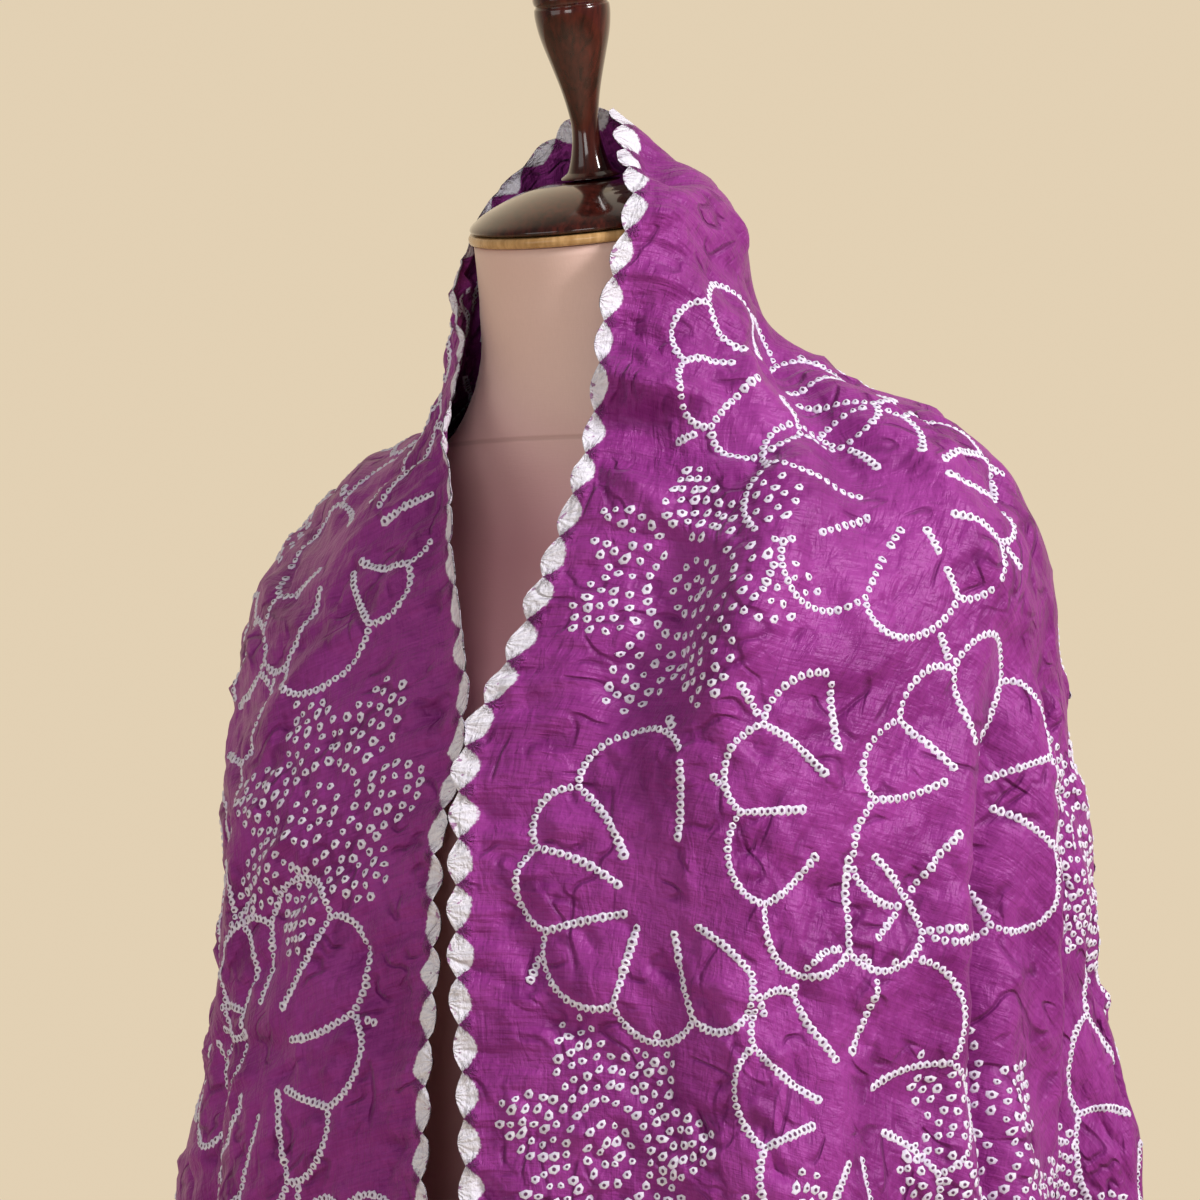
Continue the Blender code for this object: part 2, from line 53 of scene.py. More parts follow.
class Shade:
    """A shader value that takes arithmetic. `node` adds any other node to the same material."""

    def __init__(self, tree, socket):
        self.tree = tree
        self.socket = socket

    def node(self, kind, output, inputs, **settings):
        made = self.tree.nodes.new("ShaderNode" + kind)
        for setting, value in settings.items():
            setattr(made, setting, value)
        for name, value in inputs.items():
            if isinstance(value, Shade):
                self.tree.links.new(value.socket, made.inputs[name])
            else:
                made.inputs[name].default_value = value
        return Shade(self.tree, made.outputs[output])

    def maths(self, operation, *others):
        return self.node("Math", 0, dict(enumerate((self, *others))), operation=operation)

    def __add__(self, other):
        return self.maths("ADD", other)

    def __sub__(self, other):
        return self.maths("SUBTRACT", other)

    def __mul__(self, other):
        return self.maths("MULTIPLY", other)

    def __rsub__(self, other):
        return self * -1.0 + other

    __radd__ = __add__
    __rmul__ = __mul__

    def scaled(self, x, y, z):
        return self.node("VectorMath", 0, {0: self, 1: (x, y, z)}, operation="MULTIPLY")

    def noise(self, scale, detail=2.0, distortion=0.0):
        inputs = {"Vector": self, "Scale": scale, "Detail": detail, "Distortion": distortion}
        return self.node("TexNoise", "Fac", inputs)

    def ramp(self, low, high, start=0.0, end=1.0):
        """This value carried smoothly from low..high to start..end, and held outside it."""
        inputs = {"Value": self, "From Min": low, "From Max": high, "To Min": start, "To Max": end}
        return self.node("MapRange", 0, inputs, interpolation_type="SMOOTHSTEP")

    def blend(self, one, two):
        """The colour `one` where this value is 0, and `two` where it is 1."""
        colours = [c if isinstance(c, Shade) else (*c, 1.0) for c in (one, two)]
        return self.node("Mix", 2, {0: self, 6: colours[0], 7: colours[1]}, data_type="RGBA")


def surface(name, constants):
    """A new Principled material and its point in object coordinates."""
    material = bpy.data.materials.new(name)
    material.use_nodes = True
    tree = material.node_tree
    for socket, value in constants.items():
        tree.nodes["Principled BSDF"].inputs[socket].default_value = value
    return material, Shade(tree, tree.nodes.new("ShaderNodeTexCoord").outputs["Object"])


def drive(material, colour, roughness, height, relief):
    """Feeds the shader its colour, its roughness and a bump of `relief` metres."""
    bump = height.node("Bump", "Normal", {"Height": height, "Distance": relief, "Strength": 1.0})
    shader = material.node_tree.nodes["Principled BSDF"]
    for socket, value in (("Base Color", colour), ("Roughness", roughness), ("Normal", bump)):
        material.node_tree.links.new(value.socket, shader.inputs[socket])


def lacquered_wood(name, dark, light, gloss):
    """Fine-grained turned wood under lacquer: long faint grain, and a few dull wiped patches."""
    constants = {"Coat Weight": gloss, "Coat Roughness": 0.05, "Coat IOR": 1.4, "IOR": 1.35}
    material, here = surface(name, constants)
    grain = here.scaled(1.0, 1.0, 0.07).noise(420.0, 4.0, 0.4)
    broad = here.scaled(1.0, 1.0, 0.2).noise(38.0, 2.0, 0.8)
    colour = (grain * 0.6 + broad * 0.5).ramp(0.35, 0.75).blend(dark, light)
    worn = here.noise(90.0, 3.0).ramp(0.4, 0.75)
    drive(material, colour, worn * 0.1 + (0.34 - 0.22 * gloss), grain, 0.00002)
    return material


mahogany = lacquered_wood("dark_mahogany", (0.016, 0.0032, 0.0026), (0.085, 0.0130, 0.0085), 0.9)


def rounded(line, passes=2):
    """A profile with its corners cut back, so that the lathe's edges are eased."""
    for _ in range(passes):
        near = line[:-1] * 0.75 + line[1:] * 0.25
        far = line[:-1] * 0.25 + line[1:] * 0.75
        line = np.concatenate([line[:1], np.stack([near, far], axis=1).reshape(-1, 2)[1:-1], line[-1:]])
    return line


def metres(rows, plain=()):
    """A table in millimetres as an array in metres. The columns listed in `plain` stay as they are."""
    table = np.array(rows, float)
    factor = np.full(table.shape[1], 0.001)
    factor[list(plain)] = 1.0
    return table * factor


def shown(name, data):
    """A new object in the scene."""
    made = bpy.data.objects.new(name, data)
    bpy.context.scene.collection.objects.link(made)
    return made


def finished(name, points, faces, material, slot, replaces, uv=None):
    """A piece on the root body, shaded smooth."""
    mesh = bpy.data.meshes.new(name)
    mesh.from_pydata(np.asarray(points).tolist(), [], faces)
    mesh.materials.append(material)
    if uv is not None:
        corners = np.empty(len(mesh.loops), np.int32)
        mesh.loops.foreach_get("vertex_index", corners)
        mesh.uv_layers.new(name="cloth").data.foreach_set("uv", uv[corners].ravel())
    mesh.shade_smooth()
    made = shown(name, mesh)
    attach(made, "root")
    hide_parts(replaces)
    return made


def ring_faces(count, sides):
    """Quads between rings of `sides` points each, `count` rings one after another."""
    side = np.arange(sides)
    quad = np.stack([side, np.roll(side, -1), np.roll(side, -1) + sides, side + sides], axis=1)
    return [row for level in range(count - 1) for row in (quad + level * sides).tolist()]


def turned(name, profile, material, slot, foot, tilt_deg=0.0, sides=72):
    """A turned piece that replaces the CAD node of its name: a profile of radius and height, spun
    round an axis that leans forward by the tilt."""
    tilt = math.radians(tilt_deg)
    angle = np.linspace(0.0, 2 * math.pi, sides, endpoint=False)
    line = rounded(profile)
    radius, height = line[1:-1].T[:, :, None]
    back = radius * np.sin(angle)
    rings = [
        foot[0] + radius * np.cos(angle),
        foot[1] + back * math.cos(tilt) - height * math.sin(tilt),
        foot[2] + back * math.sin(tilt) + height * math.cos(tilt),
    ]
    points = np.stack(rings, axis=2).reshape(-1, 3)
    ends = [(foot[0], foot[1] - h * math.sin(tilt), foot[2] + h * math.cos(tilt)) for h in line[[0, -1], 1]]
    count = len(points)
    faces = ring_faces(count // sides, sides)
    faces += [(count, (k + 1) % sides, k) for k in range(sides)]
    faces += [(count - sides + k, count - sides + (k + 1) % sides, count + 1) for k in range(sides)]
    return finished("turned_" + name, np.concatenate([points, ends]), faces, material, slot, name)


BASE_PROFILE = metres((
    (0, 0), (164, 0), (173.5, 2), (175, 6), (175, 16), (172.5, 21.5), (166, 23.6), (163, 22.2),
    (160, 24), (148, 26.2), (100, 32), (50, 42), (40, 45.5), (37.5, 48), (33, 50), (0, 50),
))
turned("stand_base", BASE_PROFILE, mahogany, "dark_wood", (0.0, 0.0, 0.0))

# ---- Stand pole ----
# A turned baluster of the same wood, with beads at its foot and head. It stands on the base and
# carries the socket.

PIECE_GAP = 0.0003
TORSO_BOTTOM = 0.740
SOCKET_HEIGHT = 0.030
BASE_TOP = 0.050
socket_foot = TORSO_BOTTOM - PIECE_GAP - SOCKET_HEIGHT
pole_mm = 1000.0 * (socket_foot - BASE_TOP - 2 * PIECE_GAP)
POLE_PROFILE = metres((
    (0, 0), (24, 0), (25.8, 10), (25.8, 20), (21.2, 30), (23.5, 39), (26.8, 46), (23.5, 54),
    (19.6, 62), (17.6, 90), (17, 120), (18.4, 180), (20, 240), (21, 330), (19.6, 400), (17, 460),
    (15.2, 545), (16, 562), (20, 576), (19, 586), (16, 596), (16, pole_mm), (0, pole_mm),
))
turned("stand_pole", POLE_PROFILE, mahogany, "dark_wood", (0.0, 0.0, BASE_TOP + PIECE_GAP))

# ---- Stand socket ----
# The cup on the pole's head that is let into the underside of the form.

SOCKET_PROFILE = metres((
    (0, 0), (23, 0), (26, 4), (24, 12), (30, 20), (45, 26), (47, 30), (0, 30),
))
turned("stand_socket", SOCKET_PROFILE, mahogany, "dark_wood", (0.0, 0.0, socket_foot))

# ---- Padded form ----
# A limbless foam torso and neck under a tight skin of nude stretch fabric, with one thin seam round
# the root of the neck. It sits on the socket.


def cubic(t, first, last, first_slope, last_slope):
    """A smooth way from one value to another, with these slopes at its ends."""
    start = (2 * t**3 - 3 * t**2 + 1) * first + (t**3 - 2 * t**2 + t) * first_slope
    return start + (3 * t**2 - 2 * t**3) * last + (t**3 - t**2) * last_slope


def smooth(knots, values, at):
    """Values read at `at` from a smooth curve through the knots: cubic, with averaged tangents."""
    slope = np.gradient(values, knots, axis=0)
    step = np.clip(np.searchsorted(knots, at, side="right") - 1, 0, len(knots) - 2)
    width = (knots[step + 1] - knots[step])[:, None]
    t = np.clip((at - knots[step])[:, None] / width, 0.0, 1.0)
    return cubic(t, values[step], values[step + 1], width * slope[step], width * slope[step + 1])


# Columns: height, half width, depth in front, depth behind, middle y and squareness.
FORM_SECTIONS = metres((
    (740, 150, 98, 104, 0, 2.2),
    (800, 166, 108, 118, 0, 2.2),
    (860, 163, 104, 118, 0, 2.2),
    (940, 138, 94, 98, 0, 2.2),
    (1020, 118, 88, 82, 0, 2.2),
    (1080, 125, 100, 88, 0, 2.3),
    (1140, 140, 122, 98, 0, 2.4),
    (1190, 150, 136, 106, 0, 2.4),
    (1240, 162, 122, 110, 0, 2.4),
    (1276, 170, 98, 104, 0, 2.4),
    (1298, 172, 82, 94, 0, 2.3),
    (1316, 162, 70, 80, 0, 2.2),
    (1332, 139, 66, 68, -2, 2.1),
    (1347, 110, 64, 61, -6, 2.1),
    (1361, 85, 62, 58, -11, 2),
    (1378, 69, 60, 57, -16, 2),
    (1396, 60, 58, 56, -21, 2),
    (1420, 57, 57, 56, -27, 2),
), plain=(5,))
NECK_TOP = (0.0, -0.0345, 1.453)
NECK_TILT_DEG = 13.0
NECK_RADIUS = 0.0560
NECK_SEAM = 1.358


def padded_form(sides=112, step=0.0065):
    """The points and faces of the torso and neck: rounded sections, then the tilted top of the neck."""
    levels = np.arange(FORM_SECTIONS[0, 0], FORM_SECTIONS[-1, 0] + step / 2, step)
    sections = smooth(FORM_SECTIONS[:, 0], FORM_SECTIONS[:, 1:], levels)
    angle = np.linspace(0.0, 2 * math.pi, sides, endpoint=False)
    across, back = np.cos(angle), np.sin(angle)
    rings = []
    for height, (half_width, front, behind, middle_y, squareness) in zip(levels, sections):
        power = 2.0 / squareness
        dent = 0.0003 * math.exp(-(((height - NECK_SEAM) / 0.0022) ** 2))
        x = (half_width - dent) * np.sign(across) * np.abs(across) ** power
        depth = np.where(back > 0, behind, front) - dent
        y = middle_y + depth * np.sign(back) * np.abs(back) ** power
        rings.append(np.stack([x, y, np.full(sides, height)], axis=1))
    tilt = math.radians(NECK_TILT_DEG)
    for below in (0.010, 0.004, 0.0):
        y = NECK_TOP[1] + NECK_RADIUS * back * math.cos(tilt) + below * math.sin(tilt)
        z = NECK_TOP[2] + NECK_RADIUS * back * math.sin(tilt) - below * math.cos(tilt)
        rings.append(np.stack([NECK_RADIUS * across, y, z], axis=1))
    count = len(rings) * sides
    faces = [*ring_faces(len(rings), sides), range(sides - 1, -1, -1), range(count - sides, count)]
    return np.concatenate(rings), [tuple(face) for face in faces]


def form_cover():
    """Matt stretch knit: fine ribs round and up the form, pinker below the neck, and a dark seam."""
    material, here = surface("nude_stretch_knit", {"Sheen Weight": 0.25, "Sheen Roughness": 0.4})
    height = here.node("SeparateXYZ", "Z", {0: here})
    wales = here.scaled(1.0, 1.0, 0.12).noise(1500.0, 2.0)
    courses = here.scaled(0.12, 0.12, 1.0).noise(1500.0, 2.0)
    tone = here.noise(9.0, 3.0, 0.5)
    seam = (height - NECK_SEAM).maths("ABSOLUTE").ramp(0.0004, 0.0016, 1.0, 0.0)
    colour = (tone * 0.7 + wales * 0.3).blend((0.74, 0.49, 0.43), (0.90, 0.64, 0.57))
    stained = height.ramp(NECK_SEAM - 0.06, NECK_SEAM + 0.03, 1.0, 0.0)
    colour = (stained * 0.8).blend(colour, (0.72, 0.33, 0.38))
    colour = (seam * 0.3).blend(colour, (0.36, 0.19, 0.15))
    drive(material, colour, tone * 0.15 + 0.42, wales + courses - seam * 3.0, 0.00006)
    return material


finished("dress_form_cover", *padded_form(), form_cover(), "form_cover", "dress_form_torso")

# ---- Neck cap: rim, cap and finial ----
# A thin ring of pale wood, a low polished mahogany dome and a turned finial, screwed down together
# on the sloping top of the neck. The finial's head carries two fine scored lines.


def along_neck(distance):
    """A point on the neck's axis, `distance` above its top."""
    tilt = math.radians(NECK_TILT_DEG)
    return (NECK_TOP[0], NECK_TOP[1] - distance * math.sin(tilt), NECK_TOP[2] + distance * math.cos(tilt))


RIM_PROFILE = metres((
    (0, 0), (56, 0), (57.6, 0.6), (58.1, 2), (58.1, 3.4), (57.3, 4.7), (56, 5), (0, 5),
))
CAP_PROFILE = metres((
    (0, 0), (55.6, 0), (57.2, 0.9), (57.1, 2.4), (54.8, 4.7), (48, 9), (37, 13.8), (26, 17),
    (15, 18.6), (0, 18.8),
))
FINIAL_PROFILE = metres((
    (0, 0), (13.6, 0), (13.6, 1), (11.2, 2.6), (10, 3.4), (8.4, 8), (7, 14), (6.1, 21), (6.3, 27),
    (8.5, 39), (12.5, 53), (15.8, 64), (17.1, 72), (17.2, 77.2), (16.3, 77.9), (16.3, 78.7),
    (17.2, 79.6), (17.3, 83.2), (16.4, 84.1), (16.4, 84.9), (17.2, 85.8), (16.6, 91), (14, 96.5),
    (8.5, 100.8), (0, 102.5),
))
cap_foot = RIM_PROFILE[-1, 1] + 2 * PIECE_GAP
finial_foot = cap_foot + CAP_PROFILE[-1, 1] + PIECE_GAP
pale_wood = lacquered_wood("pale_rim_wood", (0.46, 0.25, 0.09), (0.74, 0.46, 0.21), 0.4)
turned("neck_cap_rim", RIM_PROFILE, pale_wood, "light_wood", along_neck(PIECE_GAP), NECK_TILT_DEG, 96)
turned("neck_cap", CAP_PROFILE, mahogany, "dark_wood", along_neck(cap_foot), NECK_TILT_DEG, 96)
turned("finial", FINIAL_PROFILE, mahogany, "dark_wood", along_neck(finial_foot), NECK_TILT_DEG)

# ---- Stole: where it is tied ----
# The pattern of ties in the flat cloth. Ties that touch draw flowers in chains, and ties that stand
# apart fill dotted ones; both are set out by eye on a rough lattice before the cloth is dyed.

STOLE_LENGTH = 1.92
STOLE_WIDTH = 0.66
RING_PITCH = 0.0034
# No tie is nearer to a long edge, an end of the cloth or another tie.
CLEAR_OF_EDGE, CLEAR_OF_END, CLEAR_OF_TIE = 0.024, 0.012, 0.0028
# The rough lattice: a flower's distance to the next in its row, and the least to any other.
LATTICE, CLEAR_OF_FLOWER = 0.124, 0.092
WIDEST_PETAL = 75.0
# Chain flowers listed one by one where the fronts show them. Columns: along, across, radius at the
# notches, and the turn of each notch in degrees. A petal wider than WIDEST_PETAL stays open.
CHAIN_FLOWERS = (
    (0.140, 0.103, 0.043, (-165, -120, -75, -30, 20, 70, 120, 160)),
    (0.394, 0.102, 0.058, (-130, -100, -65, -20, 25, 65, 180)),
    (0.213, 0.160, 0.051, (-100, -55, -5, 45, 80, 110, 140, 185, 220)),
    (0.338, 0.194, 0.063, (-140, -110, -75, -35, 15, 50)),
    (0.316, 0.252, 0.057, (-135, -105, -70, -20, 20, 50, 100, 140, 180)),
    (0.462, 0.226, 0.060, (-135, -100, -60, -10, 35, 80, 125, 180)),
    (-0.118, 0.086, 0.054, (-150, -110, -60, -15, 30, 75, 120, 165)),
    (-0.244, 0.082, 0.056, (-155, -125, -90, -45, 0, 50, 100, 145)),
    (-0.478, 0.122, 0.064, (-165, -130, -90, -45, 0, 60, 120, 160)),
)
# Dotted flowers listed one by one. Columns: along, across, radius, turn in degrees, petals.
DOT_FLOWERS = (
    (0.260, 0.076, 0.060, -173, 7),
    (0.512, 0.084, 0.060, -105, 7),
    (0.450, 0.316, 0.058, -160, 7),
    (0.262, 0.352, 0.056, 10, 7),
    (-0.378, 0.084, 0.062, -144, 7),
)


def polar(turn):
    """The flat direction at each turn in radians."""
    return np.stack([np.cos(turn), np.sin(turn)], axis=-1)


def chain_flower(radius, notches, rng):
    """Rings that touch: a petal's arc from notch to notch, a stroke inward from each notch that
    ends in larger rings, and here and there a spur outward. Each line is its points and the size
    of its first and last ring."""
    notches = np.array(sorted(notches), float)
    reach = radius * rng.uniform(0.93, 1.08, len(notches))
    lines = []
    for number, turn in enumerate(notches):
        following = (number + 1) % len(notches)
        width = (notches[following] - turn) % 360.0
        if width <= WIDEST_PETAL:
            t = np.linspace(0.0, 1.0, 40)
            bulge = 0.26 * radius * min(width / 42.0, 1.3) * rng.uniform(0.8, 1.15)
            far = reach[number] * (1 - t) + reach[following] * t
            far += bulge * np.sin(math.pi * (0.04 + 0.92 * t)) ** 0.62 - bulge * 0.27
            lines.append((far[:, None] * polar(np.radians(turn + width * t)), 0.98, 0.98))
        head = math.radians(turn)
        notch = reach[number] * polar(head)
        lean = head + math.radians(rng.uniform(-13.0, 13.0))
        stop = rng.uniform(0.34, 0.46) * radius * polar(lean)
        t = np.linspace(0.0, 1.0, 20)[:, None]
        bow = rng.uniform(-0.05, 0.05) * radius * np.sin(math.pi * t) * polar(head + math.pi / 2)
        lines.append((notch * (1 - t) + stop * t + bow, 0.98, 1.16))
        if rng.random() < 0.42:
            side = head + rng.uniform(-0.22, 0.22)
            tip = (reach[number] + rng.uniform(0.009, 0.020)) * polar(side)
            lines.append((np.linspace(notch, tip, 8), 0.98, 1.12))
    return lines


def stations(line):
    """How far along a line each of its points is."""
    return np.concatenate([[0.0], np.cumsum(np.linalg.norm(np.diff(line, axis=0), axis=1))])


def spaced(line, pitch):
    """Points a pitch apart along a line, without its first."""
    length = stations(line)
    count = max(int(round(length[-1] / pitch)), 1)
    at = np.linspace(0.0, length[-1], count + 1)[1:]
    return np.stack([np.interp(at, length, line[:, axis]) for axis in (0, 1)], axis=1)


def dot_flower(radius, petals, rng):
    """Rings that stand apart: a rosette of three rounds, and petals filled in rows."""
    points = []
    for share, count in ((0.085, 6), (0.21, 12), (0.38, 25)):
        turn = np.linspace(0.0, 2 * math.pi, count, endpoint=False) + rng.uniform(0, 0.4)
        points.append(share * radius * polar(turn))
    for number in range(petals):
        middle = 2 * math.pi * (number + rng.uniform(-0.1, 0.1)) / petals
        for share, count in ((0.50, 4), (0.60, 5), (0.70, 5), (0.80, 5), (0.90, 4), (0.99, 2)):
            spread = 0.40 * 2 * math.pi / petals * min(1.0, 2.4 * (1.08 - share))
            points.append(share * radius * polar(middle + np.linspace(-spread, spread, count)))
    points = np.concatenate(points)
    return points + rng.normal(0.0, 0.00045, points.shape)


def flower_list(rng):
    """The flowers listed above, and those of the rest of the cloth on the same rough lattice: place,
    radius, then either the turns of the notches or a turn and a count of petals."""
    flowers = [(*row, None) for row in CHAIN_FLOWERS] + [(*row[:3], None, row[3:]) for row in DOT_FLOWERS]
    for number, across in enumerate((0.085, 0.205, 0.325, 0.445, 0.565)):
        for column in range(-8, 9):
            along = column * LATTICE + LATTICE / 2 * (number % 2) + rng.normal(0.0, 0.006)
            place = across + rng.normal(0.0, 0.006)
            clear = min(math.hypot(along - flower[0], place - flower[1]) for flower in flowers)
            if abs(along) > STOLE_LENGTH / 2 - 0.05 or clear < CLEAR_OF_FLOWER:
                continue
            if (column + 2 * number) % 3 == 0:
                flowers.append((along, place, rng.uniform(0.056, 0.062), None, (rng.uniform(0, 360), 7)))
            else:
                petals = rng.integers(7, 10)
                notches = (np.arange(petals) + rng.uniform(-0.17, 0.17, petals)) * 360.0 / petals
                flowers.append((along, place, rng.uniform(0.050, 0.058), notches + rng.uniform(0, 45), None))
    return flowers


def ring_places():
    """Every tie's flat place, the heading of its row, its size and how far it is drawn out. A tie
    too near another is left out, as where two flowers meet."""
    rng = np.random.default_rng(19)
    rows = []
    for along, across, radius, notches, dotted in flower_list(rng):
        if dotted is None:
            for line, first, last in chain_flower(radius, notches, rng):
                line = line + (along, across)
                points = spaced(line, RING_PITCH)
                ways = np.gradient(np.concatenate([line[:1], points]), axis=0)[1:]
                sizes = np.linspace(first, last, len(points)) * rng.uniform(0.9, 1.1, len(points))
                rows.append((points, np.arctan2(ways[:, 1], ways[:, 0]), sizes, np.ones(len(points))))
        else:
            spin = math.radians(dotted[0])
            rotate = np.array([polar(spin), polar(spin + math.pi / 2)])
            points = dot_flower(radius, dotted[1], rng) @ rotate + (along, across)
            count = len(points)
            headings, sizes = rng.normal(2.2, 0.4, count), rng.uniform(0.72, 1.06, count)
            rows.append((points, headings, sizes, rng.uniform(1.05, 1.6, count)))
    places, headings, sizes, drawn = map(np.concatenate, zip(*rows))
    inside = (places[:, 1] > CLEAR_OF_EDGE) & (places[:, 1] < STOLE_WIDTH - CLEAR_OF_EDGE)
    inside &= np.abs(places[:, 0]) < STOLE_LENGTH / 2 - CLEAR_OF_END
    kept = []
    taken = {}
    for number in np.flatnonzero(inside):
        # In cells a little wider than the least distance, only the nine cells round a tie matter.
        cell = tuple((places[number] // 0.003).astype(int))
        near = [taken.get((cell[0] + i, cell[1] + j), ()) for i in (-1, 0, 1) for j in (-1, 0, 1)]
        if all(np.hypot(*(places[number] - places[k])) > CLEAR_OF_TIE for group in near for k in group):
            taken.setdefault(cell, []).append(number)
            kept.append(number)
    return places[kept], headings[kept], sizes[kept], drawn[kept]


tied = ring_places()

# ---- Stole: the cloth ----
# One rectangle of crinkled silk, hand-tied and dyed, that stands up round the neck as a collar,
# rests on the shoulders and hangs in folds. Nothing fixes it: it lies on the form's shoulders.

SCALLOPS = 96
SCALLOP = STOLE_LENGTH / SCALLOPS
SCALLOP_NOTCH = 0.0050
BORDER_DEPTH = 0.021
MIDDLE_SCALLOPS = 24
SILK_THICKNESS = 0.0006
# Steps in the flat cloth that find the outward side of the drape and of the fine relief.
NORMAL_STEP, FINE_STEP = 0.004, 0.0012
# The neck edge as it lies, from the peak behind the finial down each front to the stole's ends.
# Columns: x, y, z.
LEFT_EDGE = metres((
    (0, -26, 1512), (14, -45, 1496), (26, -62, 1481), (39, -78, 1463), (38.5, -88, 1440),
    (35, -92, 1418), (32.5, -99, 1372), (27.5, -110, 1329), (17.5, -128, 1284), (9.5, -138, 1250),
    (1.5, -147, 1224), (2, -156, 1170), (5.5, -163, 1100), (9, -169, 1020), (12, -178, 900),
    (15, -192, 700), (18, -208, 500),
))
RIGHT_EDGE = metres((
    (0, -26, 1512), (-18, -19, 1510), (-33, -15, 1504), (-43, -14, 1496), (-57, -20, 1480),
    (-65, -36, 1461), (-64, -50, 1444), (-55, -68, 1420), (-41.5, -87, 1374), (-25, -105, 1336),
    (-13, -122, 1297), (-5.5, -137, 1254), (-5, -145, 1228), (-11, -156, 1170), (-8.5, -163, 1100),
    (-7, -169, 1020), (-10, -178, 900), (-13, -192, 700), (-16, -208, 500),
))

# Where the cloth lies at each distance `reach` from the peak, on its way down over the left chest,
# the shoulder and the shoulder blade. Columns: reach, then x, y, z of each.
LEFT_DRAPE = metres((
    (0, 0, -26, 1512, 0, -26, 1512, 0, -26, 1512),
    (30, 21, -34, 1495, 22, -20, 1494, 13, -10, 1492),
    (60, 42, -47, 1478, 46, -18, 1478, 32, 10, 1479),
    (90, 60, -60, 1459, 62, -18, 1456, 41, 19, 1457),
    (120, 62, -65, 1430, 69, -19, 1427, 46, 25, 1428),
    (150, 64, -71, 1401, 79, -18, 1399, 62, 34, 1403),
    (180, 72, -77, 1374, 102, -12, 1386, 84, 43, 1384),
    (210, 86, -86, 1349, 129, -8, 1375, 108, 53, 1368),
    (240, 101, -95, 1325, 155, -4, 1361, 130, 64, 1348),
    (270, 115, -103, 1299, 175, -1, 1343, 144, 76, 1324),
    (300, 123, -110, 1271, 188, 0, 1315, 151, 85, 1298),
    (360, 129, -122, 1212, 194, 0, 1253, 156, 94, 1240),
    (420, 137, -126, 1153, 197, 10, 1191, 157, 102, 1181),
    (500, 149, -122, 1075, 195, 26, 1110, 159, 113, 1102),
    (600, 168, -112, 977, 198, 42, 1010, 161, 123, 1003),
    (800, 208, -104, 782, 230, 62, 813, 184, 152, 805),
    (1000, 252, -98, 586, 276, 76, 618, 210, 170, 607),
    (1200, 282, -92, 389, 306, 88, 420, 232, 186, 409),
))
# Where the right side lies otherwise: its collar stands further out and its shoulder is lower.
RIGHT_DRAPE = metres((
    (0, 0, -26, 1512, 0, -26, 1512, 0, -26, 1512),
    (30, -23, -12, 1499, -20, -8, 1495, -11, -6, 1491),
    (60, -48, -7, 1482, -42, 3, 1477, -24, 13, 1478),
    (90, -65, -16, 1460, -59, 1, 1454, -38, 23, 1454),
    (120, -69, -28, 1435, -69, -4, 1425, -46, 25, 1427),
    (150, -67, -43, 1409, -77, -12, 1397, -62, 34, 1402),
    (180, -67, -56, 1381, -95, -13, 1376, -84, 43, 1383),
    (210, -77, -73, 1354, -120, -9, 1360, -108, 53, 1365),
    (240, -92, -86, 1327, -147, -5, 1349, -130, 64, 1346),
    (270, -107, -98, 1299, -173, -1, 1333, -144, 76, 1323),
    (300, -118, -108, 1271, -190, 0, 1310, -151, 85, 1298),
    (360, -130, -122, 1212, -199, 0, 1250, -157, 94, 1240),
    (420, -136, -126, 1153, -192, 10, 1191, -157, 102, 1181),
    (500, -149, -122, 1075, -195, 26, 1110, -159, 113, 1102),
    (600, -173, -112, 977, -208, 42, 1012, -161, 123, 1003),
))
# Down the spine. Columns: reach, y, z.
SPINE_DRAPE = metres((
    (0, -26, 1512), (30, -6, 1491), (60, 16, 1479), (90, 36, 1457), (120, 46, 1429),
    (150, 52, 1400), (180, 64, 1373), (210, 83, 1350), (240, 101, 1326), (270, 112, 1298),
    (300, 117, 1269), (360, 121, 1209), (420, 124, 1149), (500, 129, 1069), (600, 137, 970),
    (800, 158, 771), (1000, 176, 572), (1200, 190, 373),
))

# The largest folds, as soft ridges (+) and troughs (-) that run away from the neck.
# Columns: side (+1 left), angle in the flat cloth from the neck edge in degrees, half width in
# degrees, height, and the reach where the fold starts and where it is full.
FOLDS = metres((
    (+1, 13, 5, -8, 160, 300), (+1, 19, 5, 14, 400, 950), (+1, 28, 5, -30, 360, 900),
    (+1, 36.5, 5, 38, 340, 900), (+1, 45.5, 5.2, -38, 380, 900), (+1, 54.5, 5, 41, 340, 800),
    (+1, 63, 5, -35, 380, 800), (+1, 71.5, 4.8, 30, 380, 780), (+1, 79.5, 4.5, -25, 360, 760),
    (+1, 87, 4.2, 18, 360, 760), (-1, 13, 5, 10, 300, 800), (-1, 22, 5, -25, 360, 950),
    (-1, 31, 5, 38, 340, 950), (-1, 40.5, 5.2, -41, 380, 950), (-1, 49.5, 5, 44, 340, 900),
    (-1, 58.5, 5, -39, 380, 850), (-1, 67, 5, 33, 360, 780), (-1, 75.5, 4.6, -28, 380, 780),
    (-1, 83, 4.2, 21, 360, 760),
), plain=(0, 1, 2))


